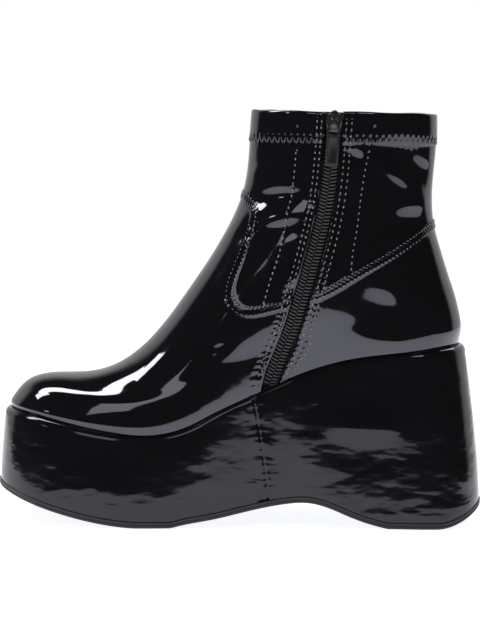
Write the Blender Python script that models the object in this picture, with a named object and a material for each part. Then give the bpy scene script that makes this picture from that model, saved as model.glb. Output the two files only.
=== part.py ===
"""Patent leather ankle boot, right foot, on a covered platform wedge.

The toe points along -X, the heel along +X, the inner (zip) side along -Y and up is +Z.
The ground is z = 0 and the origin is under the middle of the sole.
"""

import math

import bmesh
import bpy
import numpy as np
from mathutils import Matrix, Vector

# Sole sizes, in metres
LENGTH = 0.270
BALL_WIDTH = 0.098
OUTSOLE_THICK = 0.0034
OUTSOLE_PROUD = 0.0006
OUTSOLE_CHAMFER = 0.0008
TOE_SPRING = 0.0172
ARCH_RISE = 0.0134
HEEL_BEVEL = 0.010
TOE_SWING = 0.006
SWING_START = 0.42
SWING_CURVE = 1.6

# Covered wedge
DECK_AT_BALL = 0.0496
DECK_RISE = 0.0505
TOE_LEAN = 0.0020
SIDE_LEAN = 0.0020
HEEL_LEAN = 0.0102
LEAN_CURVE = 1.4
LEDGE = 0.0036
EDGE_DROP = 0.0045
SEAT_DEPTH = 0.0025

# Upper
COLLAR_HEIGHT = 0.2262
WALL = 0.0020
HEM_DEPTH = 0.0150
HEM_RISE = 0.0007
HEM_STEP = 0.0006
SEAM_WIDTH = 0.0046
SEAM_RISE = 0.0008
SEAM_BEVEL = 0.0009

# Insole
INSOLE_THICK = 0.0030
INSOLE_CLEARANCE = 0.0007

# Zip
SLOT_WIDTH = 0.0110
TAPE_WIDTH = 0.0240
TAPE_THICK = 0.0009
TAPE_SEAT = 0.0006
CHAIN_WIDTH = 0.0070
CHAIN_THICK = 0.0014
TAPE_SHORT = 0.02
CHAIN_SHORT = 0.03
SLIDER_WIDTH = 0.0094
SLIDER_LENGTH = 0.0105
SLIDER_THICK = 0.0022
SLIDER_BEVEL = 0.0007
SLIDER_CROWN = 0.86
BRIDGE_WIDTH = 0.0028
BRIDGE_BAR = 0.0012
PULL_WIDTH = 0.0070
PULL_LENGTH = 0.0236
PULL_THICK = 0.0011
PULL_BAR = 0.0012
PULL_EYE_LENGTH = 0.0058
PULL_EYE_WIDTH = 0.0044
PIVOT_BELOW_COLLAR = 0.0052
PIVOT_CLEARANCE = 0.0004

# Clearances
GAP = 0.0003
SEAT_GAP = 0.0005

# Mesh fineness
FOOT_COLUMNS = 88
WEDGE_LEVELS = 5
EDGE_TURNS = (35, 62, 90)
UPPER_COLUMNS = 56
UPPER_RINGS = 20
PATH_STATIONS = 200
SEAM_STATIONS = 58
ZIP_STATIONS = 22

# Colours and roughness
PATENT = ((0.006, 0.006, 0.007), 0.05)
RUBBER = ((0.012, 0.012, 0.013), 0.55)
SOCK = ((0.020, 0.020, 0.021), 0.70)
TAPE = ((0.010, 0.010, 0.011), 0.80)
COIL = ((0.015, 0.015, 0.016), 0.45)
SLIDER_PAINT = ((0.020, 0.020, 0.021), 0.35, 0.9)
PULL_PAINT = ((0.015, 0.015, 0.016), 0.30, 0.9)

# Outline of the sole: place along it, fullness of the inner and of the outer side
OUTLINE_COLUMNS = ("along", "inner", "outer")
OUTLINE = (
    (0.00, 1.42, 1.42),
    (0.05, 1.38, 1.36),
    (0.10, 1.30, 1.26),
    (0.20, 1.18, 1.10),
    (0.28, 1.10, 1.05),
    (0.36, 0.99, 1.02),
    (0.50, 0.80, 0.90),
    (0.62, 0.74, 0.84),
    (0.75, 0.85, 0.90),
    (0.85, 1.02, 1.03),
    (0.95, 1.33, 1.33),
    (1.00, 1.42, 1.42),
)

# Underside of the sole: the toe and heel curves end where the flat spots start
TOE_FLAT = 0.29
TOE_CURVE = 1.6
HEEL_FLAT = 0.905
HEEL_CURVE = 1.7
ARCH_COLUMNS = ("along", "rise")
ARCH = (
    (0.36, 0.00),
    (0.39, 0.14),
    (0.44, 0.31),
    (0.49, 0.53),
    (0.54, 0.76),
    (0.59, 0.94),
    (0.625, 1.00),
    (0.65, 0.96),
    (0.68, 0.80),
    (0.72, 0.48),
    (0.76, 0.20),
    (0.80, 0.00),
)

# Deck of the wedge, where the upper meets it, seen from the side
DECK_COLUMNS = ("along", "rise")
DECK = (
    (0.00, 0.226),
    (0.09, 0.163),
    (0.15, 0.100),
    (0.229, 0.032),
    (0.292, 0.000),
    (0.353, 0.032),
    (0.398, 0.113),
    (0.444, 0.244),
    (0.495, 0.376),
    (0.545, 0.505),
    (0.60, 0.640),
    (0.66, 0.765),
    (0.72, 0.850),
    (0.80, 0.913),
    (0.87, 0.957),
    (0.94, 0.995),
    (1.00, 1.014),
)

# Rings of the last from the foot line to the collar. front and back: share of the foot line's
# length. up: share of the height from deck to collar. follow: how far the ring keeps the deck's
# curve. drop: how far it falls away from the ridge, as a share of the ball width. width: share of
# the foot line's half width. nose and tail: fullness at its ends. foot: how far it keeps the
# outline of the sole.
DROP_CURVE = 6
END_CURVE = 3
RING_COLUMNS = (
    "front",
    "front_up",
    "back",
    "back_up",
    "follow",
    "drop",
    "width",
    "nose",
    "tail",
    "foot",
)
RINGS = (
    (0.000, 0.000, 1.000, 0.000, 1.00, 0.00, 1.00, 1.00, 1.00, 1.00),
    (-0.003, 0.018, 1.003, 0.030, 1.00, 0.02, 1.01, 1.00, 1.00, 1.00),
    (0.009, 0.050, 1.005, 0.065, 1.00, 0.12, 1.01, 0.99, 0.99, 1.00),
    (0.038, 0.098, 1.003, 0.106, 1.00, 0.36, 1.01, 0.95, 0.96, 1.00),
    (0.092, 0.131, 0.998, 0.149, 1.00, 0.58, 1.01, 0.92, 0.93, 1.00),
    (0.159, 0.151, 0.992, 0.194, 1.00, 0.54, 1.01, 0.97, 0.90, 0.99),
    (0.224, 0.186, 0.984, 0.244, 0.97, 0.38, 1.00, 1.06, 0.87, 0.95),
    (0.288, 0.255, 0.973, 0.303, 0.90, 0.20, 0.97, 1.12, 0.86, 0.86),
    (0.346, 0.345, 0.962, 0.367, 0.78, 0.09, 0.93, 1.15, 0.86, 0.74),
    (0.398, 0.440, 0.950, 0.438, 0.62, 0.04, 0.88, 1.16, 0.87, 0.60),
    (0.447, 0.534, 0.939, 0.513, 0.45, 0.02, 0.82, 1.16, 0.90, 0.45),
    (0.488, 0.640, 0.932, 0.597, 0.28, 0.00, 0.77, 1.15, 0.94, 0.30),
    (0.510, 0.735, 0.931, 0.690, 0.14, 0.00, 0.74, 1.14, 0.99, 0.16),
    (0.518, 0.825, 0.934, 0.790, 0.05, 0.00, 0.72, 1.12, 1.02, 0.06),
    (0.521, 0.914, 0.937, 0.895, 0.00, 0.00, 0.71, 1.10, 1.06, 0.00),
    (0.524, 1.000, 0.936, 0.996, 0.00, 0.00, 0.72, 1.10, 1.08, 0.00),
)

# Centre line of the zip on the inner side, from the collar down
ZIP_COLUMNS = ("along", "up")
ZIP_LINE = (
    (0.672, 1.000),
    (0.669, 0.856),
    (0.663, 0.700),
    (0.655, 0.596),
    (0.637, 0.453),
    (0.619, 0.326),
    (0.603, 0.228),
    (0.587, 0.152),
    (0.575, 0.106),
    (0.567, 0.068),
    (0.560, 0.038),
)

# Ankle seam, from the middle of the front round either side to the middle of the back
SEAM_COLUMNS = ("along", "up")
SEAM_FRONT_UP = 0.712
SEAM_BACK_UP = 0.536
SEAM_LINE = (
    (0.503, 0.690),
    (0.514, 0.655),
    (0.512, 0.606),
    (0.503, 0.558),
    (0.488, 0.489),
    (0.473, 0.427),
    (0.469, 0.377),
    (0.481, 0.332),
    (0.506, 0.303),
    (0.533, 0.293),
    (0.594, 0.287),
    (0.656, 0.291),
    (0.718, 0.340),
    (0.796, 0.419),
    (0.872, 0.512),
)

# Half of the slider's plan, from its crown to its foot: shares of its width and of its length
SLIDER_COLUMNS = ("across", "down")
SLIDER_PLAN = (
    (0.30, -0.50),
    (0.50, -0.23),
    (0.39, 0.40),
    (0.28, 0.50),
)

INNER = 1
OUTER = -1
TOP_RING = len(RINGS) - 1


class Spline:
    """Natural cubic through rows of a table, read at any place between them."""

    def __init__(self, stations, values):
        self.x = np.array(stations, float)
        self.y = np.array(values, float)
        step = np.diff(self.x)
        slope = np.diff(self.y) / step
        system = np.eye(len(self.x))
        right = np.zeros(len(self.x))
        for i in range(1, len(self.x) - 1):
            system[i, i - 1 : i + 2] = step[i - 1], 2 * (step[i - 1] + step[i]), step[i]
            right[i] = 6 * (slope[i] - slope[i - 1])
        self.bend = np.linalg.solve(system, right)

    def __call__(self, at):
        at = np.asarray(at, float)
        i = np.clip(np.searchsorted(self.x, at) - 1, 0, len(self.x) - 2)
        step = self.x[i + 1] - self.x[i]
        before = (self.x[i + 1] - at) / step
        after = (at - self.x[i]) / step
        curve = (before**3 - before) * self.bend[i] + (after**3 - after) * self.bend[i + 1]
        return before * self.y[i] + after * self.y[i + 1] + curve * step**2 / 6


def columns_of(names, rows):
    """One spline for each named column, over the first column or over the row number."""
    columns = dict(zip(names, zip(*rows)))
    stations = columns.get("along", range(len(rows)))
    return {name: Spline(stations, values) for name, values in columns.items()}


outline = columns_of(OUTLINE_COLUMNS, OUTLINE)
arch = columns_of(ARCH_COLUMNS, ARCH)
deck_rise = columns_of(DECK_COLUMNS, DECK)
ring = columns_of(RING_COLUMNS, RINGS)

# The foot line, where the outside of the upper meets the deck
FOOT_FRONT = -LENGTH / 2 + OUTSOLE_PROUD + TOE_LEAN + LEDGE + GAP
FOOT_BACK = LENGTH / 2 - OUTSOLE_PROUD - HEEL_LEAN - LEDGE - GAP
FOOT_HALF = BALL_WIDTH / 2 - OUTSOLE_PROUD - SIDE_LEAN - LEDGE - GAP


def share_along(x):
    return x / LENGTH + 0.5


def ground_line(x):
    """Height of the sole's underside: toe spring, flat, arch, flat and heel bevel."""
    u = np.clip(share_along(np.asarray(x, float)), 0, 1)
    toe = TOE_SPRING * (np.clip(TOE_FLAT - u, 0, 1) / TOE_FLAT) ** TOE_CURVE
    heel = HEEL_BEVEL * (np.clip(u - HEEL_FLAT, 0, 1) / (1 - HEEL_FLAT)) ** HEEL_CURVE
    inside = (u > ARCH[0][0]) & (u < ARCH[-1][0])
    waist = np.where(inside, ARCH_RISE * np.clip(arch["rise"](u), 0, None), 0)
    return toe + waist + heel


def deck_line(x):
    return DECK_AT_BALL + DECK_RISE * deck_rise["rise"](np.clip(share_along(x), 0, 1))


def swing(x):
    """The toe swings to the inner side ahead of the waist."""
    ahead = np.clip((SWING_START - share_along(np.asarray(x, float))) / SWING_START, 0, None)
    return -TOE_SWING * ahead**SWING_CURVE


def fullness(along, angle, foot):
    """How full the outline is on the side of the angle, at a share of the foot's length."""
    along = np.clip(along, 0, 1)
    side = np.where(np.sin(angle) >= 0, outline["inner"](along), outline["outer"](along))
    return 1 + (side - 1) * foot


def angles(count):
    """Places round the boot: 0 at the toe, then the inner side, then the heel."""
    return np.arange(count) * 2 * math.pi / count


def along_ring(angle):
    return (1 - np.cos(angle)) / 2


def widest_middle():
    """Middle between the widest places of the two sides, before the sole is centred."""
    turn = angles(FOOT_COLUMNS)
    along = along_ring(turn)
    sides = swing((along - 0.5) * LENGTH) - BALL_WIDTH / 2 * fullness(along, turn, 1) * np.sin(turn)
    return (sides.min() + sides.max()) / 2


MIDDLE = widest_middle()


def centre_line(x):
    return swing(x) - MIDDLE


def foot_outline(angle, front, back, half):
    """Plan of the sole or of a line inside it."""
    along = along_ring(angle)
    x = front + (back - front) * along
    y = centre_line(x) - half * fullness(along, angle, 1) * np.sin(angle)
    return x, y


def last_point(angle, level):
    """The outside of the upper at an angle round it and a level from foot line to collar."""
    along = along_ring(angle)
    front = FOOT_FRONT + (FOOT_BACK - FOOT_FRONT) * ring["front"](level)
    back = FOOT_FRONT + (FOOT_BACK - FOOT_FRONT) * ring["back"](level)
    x = front + (back - front) * along
    up = ring["front_up"](level) * (1 - along) + ring["back_up"](level) * along
    follow = ring["follow"](level)
    curved = deck_line(x) + up * (COLLAR_HEIGHT - deck_line(x))
    front_deck = deck_line(front)
    back_deck = deck_line(back)
    front_z = front_deck + ring["front_up"](level) * (COLLAR_HEIGHT - front_deck)
    back_z = back_deck + ring["back_up"](level) * (COLLAR_HEIGHT - back_deck)
    straight = front_z * (1 - along) + back_z * along
    fall = ring["drop"](level) * BALL_WIDTH * along * (1 - along) ** DROP_CURVE
    z = follow * curved + (1 - follow) * straight - fall
    nose = (ring["nose"](level) - 1) * (1 - along) ** END_CURVE
    tail = (ring["tail"](level) - 1) * along**END_CURVE
    ends = 1 + nose + tail
    on_foot = (x - FOOT_FRONT) / (FOOT_BACK - FOOT_FRONT)
    half = FOOT_HALF * ring["width"](level) * ends * fullness(on_foot, angle, ring["foot"](level))
    y = centre_line(x) - half * np.sin(angle)
    return np.stack([x, y, z], -1)


def last_frame(angle, level):
    """Point, change with the angle, change with the level, and outward normal."""
    small = 1e-4
    point = last_point(angle, level)
    round_it = (last_point(angle + small, level) - last_point(angle - small, level)) / (2 * small)
    up_it = (last_point(angle, level + small) - last_point(angle, level - small)) / (2 * small)
    normal = np.cross(round_it, up_it)
    normal /= np.linalg.norm(normal, axis=-1, keepdims=True)
    return point, round_it, up_it, normal


def upper_point(angle, level, lift):
    point, _, _, normal = last_frame(angle, level)
    return point + normal * lift


def locate(along, up, side):
    """Angle and level of the place that a side view shows at a share along and a share up."""
    x = (along - 0.5) * LENGTH
    target = deck_line(x) + up * (COLLAR_HEIGHT - deck_line(x))
    low, high = 0.0, float(TOP_RING)
    angle = math.pi / 2
    for _ in range(40):
        level = (low + high) / 2
        ends = last_point(np.array([0.0, math.pi]), np.array([level, level]))[:, 0]
        share = np.clip((x - ends[0]) / (ends[1] - ends[0]), 0, 1)
        angle = float(np.arccos(1 - 2 * share))
        if last_point(angle * side, level)[2] < target:
            low = level
        else:
            high = level
    return angle * side, level


def even_path(places, count):
    """Places (angle, level) evenly spaced along a smooth line through the given ones."""
    places = np.array(places)
    points = last_point(places[:, 0], places[:, 1])
    run = np.r_[0, np.cumsum(np.linalg.norm(np.diff(points, axis=0), axis=1))]
    at = np.linspace(0, run[-1], count)
    return Spline(run, places[:, 0])(at), Spline(run, places[:, 1])(at)


def swept(path, offsets, heights):
    """Rows of points beside a path on the upper: one row for each offset and height pair."""
    angle, level = path
    point, round_it, up_it, normal = last_frame(angle, level)
    forward = np.gradient(point, axis=0)
    forward /= np.linalg.norm(forward, axis=-1, keepdims=True)
    across = np.cross(normal, forward)
    a = np.sum(round_it * round_it, -1)
    b = np.sum(round_it * up_it, -1)
    c = np.sum(up_it * up_it, -1)
    rows = []
    for offset, height in zip(offsets, heights):
        p = np.sum(round_it * across, -1) * offset
        q = np.sum(up_it * across, -1) * offset
        bottom = a * c - b * b
        turn = (p * c - q * b) / bottom
        rise = (q * a - p * b) / bottom
        rows.append(upper_point(angle + turn, level + rise, height))
    return rows, forward


def smooth(mesh):
    mesh.shade_smooth()
    mesh.set_sharp_from_angle(angle=math.radians(40))


def add_object(name, points, faces, look):
    mesh = bpy.data.meshes.new(name)
    mesh.from_pydata([tuple(map(float, p)) for p in points], [], faces)
    mesh.validate()
    work = bmesh.new()
    work.from_mesh(mesh)
    bmesh.ops.recalc_face_normals(work, faces=work.faces)
    work.to_mesh(mesh)
    work.free()
    smooth(mesh)
    piece = bpy.data.objects.new(name, mesh)
    bpy.context.scene.collection.objects.link(piece)
    finish(piece, *look)
    return piece


def finish(piece, colour, roughness, metallic=0.0):
    material = bpy.data.materials.new(piece.name)
    material.use_nodes = True
    shader = material.node_tree.nodes["Principled BSDF"]
    shader.inputs["Base Color"].default_value = (*colour, 1)
    shader.inputs["Roughness"].default_value = roughness
    shader.inputs["Metallic"].default_value = metallic
    piece.data.materials.clear()
    piece.data.materials.append(material)


def stacked(rings, looped=False):
    """Points and side faces of rings that lie one on the other."""
    count = len(rings[0])
    faces = []
    for i in range(len(rings) if looped else len(rings) - 1):
        low = i * count
        high = (i + 1) % len(rings) * count
        for j in range(count):
            k = (j + 1) % count
            faces.append((low + j, low + k, high + k, high + j))
    return np.concatenate(rings), faces


def lid(first, count):
    """Strips across a ring, from its inner side to its outer side."""
    half = count // 2
    faces = [(first, first + 1, first + count - 1)]
    for j in range(1, half - 1):
        faces.append((first + j, first + j + 1, first + count - j - 1, first + count - j))
    faces.append((first + half - 1, first + half, first + half + 1))
    return faces


def solid_of_rings(name, rings, look):
    points, faces = stacked(rings)
    count = len(rings[0])
    faces += lid(0, count) + lid(len(points) - count, count)
    return add_object(name, points, faces, look)


def strip_solid(name, path, section, look, above=0, looped=False):
    """A closed strip along a path, drawn out above its start. section: offsets and heights."""
    offsets, heights = section
    rows, forward = swept(path, offsets, heights)
    rings = np.stack(rows, 1)
    rings[0] -= forward[0] * above
    width = len(offsets)
    points, faces = stacked(list(rings), looped)
    if not looped:
        faces.append(tuple(range(width)))
        faces.append(tuple(range(len(points) - width, len(points))))
    return add_object(name, points, faces, look)


def sheet_section(width, low, high, cells):
    """Offset and height pairs round a flat strip that follows the upper's curve."""
    across = np.linspace(-width / 2, width / 2, cells + 1)
    offsets = [*across, *across[::-1]]
    heights = [low] * (cells + 1) + [high] * (cells + 1)
    return offsets, heights


def combine(base, tool, operation):
    """Boolean that is applied at once, so the tool can be removed."""
    modifier = base.modifiers.new(operation.lower(), "BOOLEAN")
    modifier.operation = operation
    modifier.solver = "EXACT"
    modifier.object = tool
    graph = bpy.context.evaluated_depsgraph_get()
    mesh = bpy.data.meshes.new_from_object(base.evaluated_get(graph))
    base.modifiers.clear()
    base.data = mesh
    bpy.data.objects.remove(tool)


def make_outsole():
    turn = angles(FOOT_COLUMNS)
    rings = []
    for inset, rise in ((OUTSOLE_CHAMFER, 0), (0, OUTSOLE_CHAMFER), (0, OUTSOLE_THICK)):
        x, y = foot_outline(turn, inset - LENGTH / 2, LENGTH / 2 - inset, BALL_WIDTH / 2 - inset)
        rings.append(np.stack([x, y, ground_line(x) + rise], -1))
    return solid_of_rings("outsole", rings, RUBBER)


def wedge_ring(turn, height, inset):
    """Ring of the wedge at a share of its height, further in by inset."""
    lean = height**LEAN_CURVE
    front = -LENGTH / 2 + OUTSOLE_PROUD + TOE_LEAN * lean + inset
    back = LENGTH / 2 - OUTSOLE_PROUD - HEEL_LEAN * lean - inset
    half = BALL_WIDTH / 2 - OUTSOLE_PROUD - SIDE_LEAN * lean - inset
    return foot_outline(turn, front, back, half)


def make_wedge():
    turn = angles(FOOT_COLUMNS)
    rings = []
    for height in np.linspace(0, 1, WEDGE_LEVELS):
        x, y = wedge_ring(turn, height, 0)
        low = ground_line(x) + OUTSOLE_THICK + GAP
        high = deck_line(x) - EDGE_DROP
        rings.append(np.stack([x, y, low + (high - low) * height], -1))
    for degrees in EDGE_TURNS:
        bend = math.radians(degrees)
        x, y = wedge_ring(turn, 1, LEDGE * (1 - math.cos(bend)))
        rings.append(np.stack([x, y, deck_line(x) - EDGE_DROP * (1 - math.sin(bend))], -1))
    x, y = wedge_ring(turn, 1, LEDGE)
    rings.append(np.stack([x, y, deck_line(x) - SEAT_DEPTH], -1))
    return solid_of_rings("wedge", rings, PATENT)


def make_upper():
    turn = angles(UPPER_COLUMNS)
    middle = (ring["front"](TOP_RING) + ring["back"](TOP_RING)) / 2
    middle_x = FOOT_FRONT + (FOOT_BACK - FOOT_FRONT) * middle
    hem_up = 1 - HEM_DEPTH / (COLLAR_HEIGHT - float(deck_line(middle_x)))
    _, hem = locate(share_along(middle_x), hem_up, INNER)
    step = HEM_STEP / float(last_point(math.pi / 2, hem + 1)[2] - last_point(math.pi / 2, hem)[2])
    levels = [*np.linspace(0, hem, UPPER_RINGS), hem + step, (hem + TOP_RING) / 2, TOP_RING]
    lifts = [0] * UPPER_RINGS + [HEM_RISE] * 3

    def seat(points):
        lowered = points.copy()
        lowered[:, 2] = deck_line(points[:, 0]) - SEAT_DEPTH + SEAT_GAP
        return lowered

    outside = [upper_point(turn, level, lift) for level, lift in zip(levels, lifts)]
    inside = [upper_point(turn, level, -WALL) for level in levels]
    inside[-1][:, 2] = outside[-1][:, 2]
    inside[0][:, 2] = outside[0][:, 2]
    rings = [seat(outside[0]), *outside, *inside[::-1], seat(inside[0])]
    points, faces = stacked(rings, looped=True)
    upper = add_object("upper", points, faces, PATENT)

    inner_side = [locate(along, up, INNER) for along, up in SEAM_LINE]
    outer_side = [locate(along, up, OUTER) for along, up in SEAM_LINE]
    front = (0.0, float(np.interp(SEAM_FRONT_UP, [r[1] for r in RINGS], range(len(RINGS)))))
    back = float(np.interp(SEAM_BACK_UP, [r[3] for r in RINGS], range(len(RINGS))))
    places = [(-math.pi, back), *outer_side[::-1], front, *inner_side, (math.pi, back)]
    angle, level = even_path(places, SEAM_STATIONS + 1)
    half = SEAM_WIDTH / 2
    offsets = (-half, half, half - SEAM_BEVEL, SEAM_BEVEL - half)
    heights = (-WALL / 2, -WALL / 2, SEAM_RISE, SEAM_RISE)
    path = angle[:-1], level[:-1]
    seam = strip_solid("seam", path, (offsets, heights), PATENT, looped=True)
    combine(upper, seam, "UNION")

    cutter = sheet_section(SLOT_WIDTH, -3 * WALL, 2 * WALL, 2)
    slot = strip_solid("slot", zip_path(0), cutter, PATENT, above=HEM_DEPTH / 2)
    combine(upper, slot, "DIFFERENCE")
    smooth(upper.data)
    finish(upper, *PATENT)
    return upper


def zip_path(short):
    """The zip's centre line, with its ends drawn in by the given share of its length."""
    places = [locate(along, up, INNER) for along, up in ZIP_LINE]
    angle, level = even_path(places, PATH_STATIONS)
    at = np.linspace(0, 1, PATH_STATIONS)
    keep = np.linspace(short, 1 - short, ZIP_STATIONS)
    return np.interp(keep, at, angle), np.interp(keep, at, level)


def make_insole():
    turn = angles(UPPER_COLUMNS)
    edge = upper_point(turn, 0.0, -WALL - INSOLE_CLEARANCE)
    low = deck_line(edge[:, 0]) - SEAT_DEPTH + SEAT_GAP
    rings = []
    for rise in (0, INSOLE_THICK):
        level = edge.copy()
        level[:, 2] = low + rise
        rings.append(level)
    return solid_of_rings("insole", rings, SOCK)


def make_zip_strips():
    behind = -WALL - TAPE_SEAT
    section = sheet_section(TAPE_WIDTH, behind - TAPE_THICK, behind, 4)
    strip_solid("zip_tape", zip_path(TAPE_SHORT), section, TAPE)
    low = behind + GAP
    section = sheet_section(CHAIN_WIDTH, low, low + CHAIN_THICK, 2)
    strip_solid("zip_chain", zip_path(CHAIN_SHORT), section, COIL)


def rounded_rectangle(centre, half, radius, steps=3):
    """Corner by corner round a rectangle, as (along, up) pairs."""
    points = []
    for quarter, (sx, sy) in enumerate(((1, 1), (-1, 1), (-1, -1), (1, -1))):
        cx = centre[0] + sx * (half[0] - radius)
        cy = centre[1] + sy * (half[1] - radius)
        for i in range(steps + 1):
            turn = (quarter + i / steps) * math.pi / 2
            points.append((cx + radius * math.cos(turn), cy + radius * math.sin(turn)))
    return points


def holed_plate(name, outer, inner, thick, axis, look):
    """A plate with one hole: both outlines have as many points. axis is its thin direction."""

    def placed(pair, side):
        a, b = pair
        return (side, a, b) if axis == "X" else (a, b, side)

    rings = [
        [placed(p, -thick / 2) for p in outer],
        [placed(p, thick / 2) for p in outer],
        [placed(p, thick / 2) for p in inner],
        [placed(p, -thick / 2) for p in inner],
    ]
    points, faces = stacked([np.array(r) for r in rings], looped=True)
    return add_object(name, points, faces, look)


def pivot_matrix():
    """Frame of the slider: X across the zip, Y down along it, Z out of the boot."""
    angle, level = zip_path(0)
    point, _, _, normal = last_frame(angle, level)
    height = COLLAR_HEIGHT - PIVOT_BELOW_COLLAR
    place = float(np.interp(-height, -point[:, 2], range(len(point))))
    i = int(place)
    centre = Vector(point[i] + (point[i + 1] - point[i]) * (place - i))
    out = Vector(normal[i])
    down = Vector(point[i + 1] - point[i])
    down = (down - out * down.dot(out)).normalized()
    across = down.cross(out)
    turn = Matrix((across, down, out)).transposed().to_4x4()
    return Matrix.Translation(centre) @ turn


def slider_heights():
    """Underside and top of the slider's body, and the height of the pull's pivot."""
    low = -WALL - TAPE_SEAT + GAP + CHAIN_THICK + GAP
    high = low + SLIDER_THICK
    pivot = high + PIVOT_CLEARANCE + math.hypot(PULL_BAR, PULL_THICK) / 2
    return low, high, pivot


def make_slider(frame):
    low, high, pivot = slider_heights()
    right = [(x * SLIDER_WIDTH, y * SLIDER_LENGTH) for x, y in SLIDER_PLAN]
    plan = right + [(-x, y) for x, y in right[::-1]]
    rings = []
    for share, z in ((1, low), (1, high - SLIDER_BEVEL), (SLIDER_CROWN, high)):
        rings.append(np.array([(x * share, y * share, z) for x, y in plan]))
    points, faces = stacked(rings)
    faces.append(tuple(range(len(plan))))
    faces.append(tuple(range(len(points) - len(plan), len(points))))
    body = add_object("zip_slider", points, faces, SLIDER_PAINT)
    hole = math.hypot(PULL_BAR, PULL_THICK) / 2 + PIVOT_CLEARANCE
    outer_half = (hole + PIVOT_CLEARANCE + BRIDGE_BAR, hole + BRIDGE_BAR)
    inner_half = (hole + PIVOT_CLEARANCE, hole)
    outer = rounded_rectangle((0, pivot), outer_half, BRIDGE_BAR)
    inner = rounded_rectangle((0, pivot), inner_half, BRIDGE_BAR / 2)
    bridge = holed_plate("bridge", outer, inner, BRIDGE_WIDTH, "X", SLIDER_PAINT)
    combine(body, bridge, "UNION")
    finish(body, *SLIDER_PAINT)
    body.matrix_world = frame
    return body


def make_pull(frame):
    pivot = slider_heights()[2]
    outer_half = (PULL_WIDTH / 2, (PULL_LENGTH + PULL_BAR / 2) / 2)
    outer = rounded_rectangle((0, PULL_LENGTH / 2 - PULL_BAR / 4), outer_half, PULL_WIDTH / 4)
    inner_half = (PULL_EYE_WIDTH / 2, PULL_EYE_LENGTH / 2)
    inner = rounded_rectangle((0, PULL_BAR / 2 + PULL_EYE_LENGTH / 2), inner_half, PULL_EYE_WIDTH / 5)
    pull = holed_plate("zip_pull", outer, inner, PULL_THICK, "Z", PULL_PAINT)
    pull.matrix_world = frame @ Matrix.Translation((0, 0, pivot))
    return pull


def main():
    for old in list(bpy.data.objects):
        bpy.data.objects.remove(old)
    make_outsole()
    make_wedge()
    make_upper()
    make_insole()
    make_zip_strips()
    frame = pivot_matrix()
    make_slider(frame)
    make_pull(frame)


main()
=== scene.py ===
"""Patent leather ankle boot on a covered wedge: its finished surfaces, stitching, zip and studio.

The toe points along -X, the heel along +X, the inner (zip) side along -Y and up is +Z.
"""

import math

import bpy
import numpy as np
from bpy.props import FloatProperty, FloatVectorProperty, IntProperty, PointerProperty
from bpy.types import Operator, Panel, PropertyGroup
from mathutils import Matrix, Vector
from mathutils.kdtree import KDTree


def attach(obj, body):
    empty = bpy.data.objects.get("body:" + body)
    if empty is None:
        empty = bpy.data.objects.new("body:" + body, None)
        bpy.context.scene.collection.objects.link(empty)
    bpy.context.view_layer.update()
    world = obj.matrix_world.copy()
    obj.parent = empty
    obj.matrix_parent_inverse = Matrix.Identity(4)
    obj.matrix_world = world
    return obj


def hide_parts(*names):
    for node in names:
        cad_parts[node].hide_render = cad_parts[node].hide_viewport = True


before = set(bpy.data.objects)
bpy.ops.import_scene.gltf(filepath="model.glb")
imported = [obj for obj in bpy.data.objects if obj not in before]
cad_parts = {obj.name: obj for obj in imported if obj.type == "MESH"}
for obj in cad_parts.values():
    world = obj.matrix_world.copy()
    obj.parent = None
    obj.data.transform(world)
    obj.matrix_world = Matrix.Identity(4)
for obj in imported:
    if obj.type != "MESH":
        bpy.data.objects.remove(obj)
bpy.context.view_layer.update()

bl_info = {
    "name": "Patent Wedge Boot",
    "version": (1, 0, 0),
    "blender": (4, 5, 0),
    "location": "3D View > Sidebar > Boot",
    "description": "Dresses a patent leather ankle boot: cover, upper, stitching, zip and studio",
    "category": "Object",
}

# Sole sizes, in metres
LENGTH = 0.270
BALL_WIDTH = 0.098
OUTSOLE_THICK = 0.0034
OUTSOLE_PROUD = 0.0006
OUTSOLE_CHAMFER = 0.0008
TOE_SPRING = 0.0172
ARCH_RISE = 0.0134
HEEL_BEVEL = 0.010
TOE_SWING = 0.006
SWING_START = 0.42
SWING_CURVE = 1.6

# Covered wedge
DECK_AT_BALL = 0.0496
DECK_RISE = 0.0505
TOE_LEAN = 0.0020
SIDE_LEAN = 0.0020
HEEL_LEAN = 0.0102
LEAN_CURVE = 1.4
LEDGE = 0.0036
EDGE_DROP = 0.0045
SEAT_DEPTH = 0.0025

# Upper
COLLAR_HEIGHT = 0.2262
WALL = 0.0020
HEM_DEPTH = 0.0150
HEM_RISE = 0.0007
SEAM_WIDTH = 0.0046
SEAM_RISE = 0.0008
SEAM_BEVEL = 0.0009

# Insole
INSOLE_THICK = 0.0030
INSOLE_CLEARANCE = 0.0007

# Zip
SLOT_WIDTH = 0.0110
TAPE_WIDTH = 0.0240
TAPE_THICK = 0.0009
TAPE_SEAT = 0.0006
CHAIN_WIDTH = 0.0070
CHAIN_THICK = 0.0014
TAPE_SHORT = 0.02
CHAIN_SHORT = 0.03
SLIDER_WIDTH = 0.0094
SLIDER_LENGTH = 0.0105
SLIDER_THICK = 0.0022
BRIDGE_WIDTH = 0.0028
BRIDGE_BAR = 0.0012
PULL_WIDTH = 0.0070
PULL_LENGTH = 0.0236
PULL_THICK = 0.0011
PULL_BAR = 0.0012
PULL_EYE_LENGTH = 0.0058
PULL_EYE_WIDTH = 0.0044
PIVOT_BELOW_COLLAR = 0.0052
PIVOT_CLEARANCE = 0.0004

# Clearances
GAP = 0.0003
SEAT_GAP = 0.0005

# Fineness of the shape's own lines
FOOT_COLUMNS = 88
PATH_STATIONS = 200
ZIP_STATIONS = 22
HALVINGS = 40
SMALL_STEP = 1e-4

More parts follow.
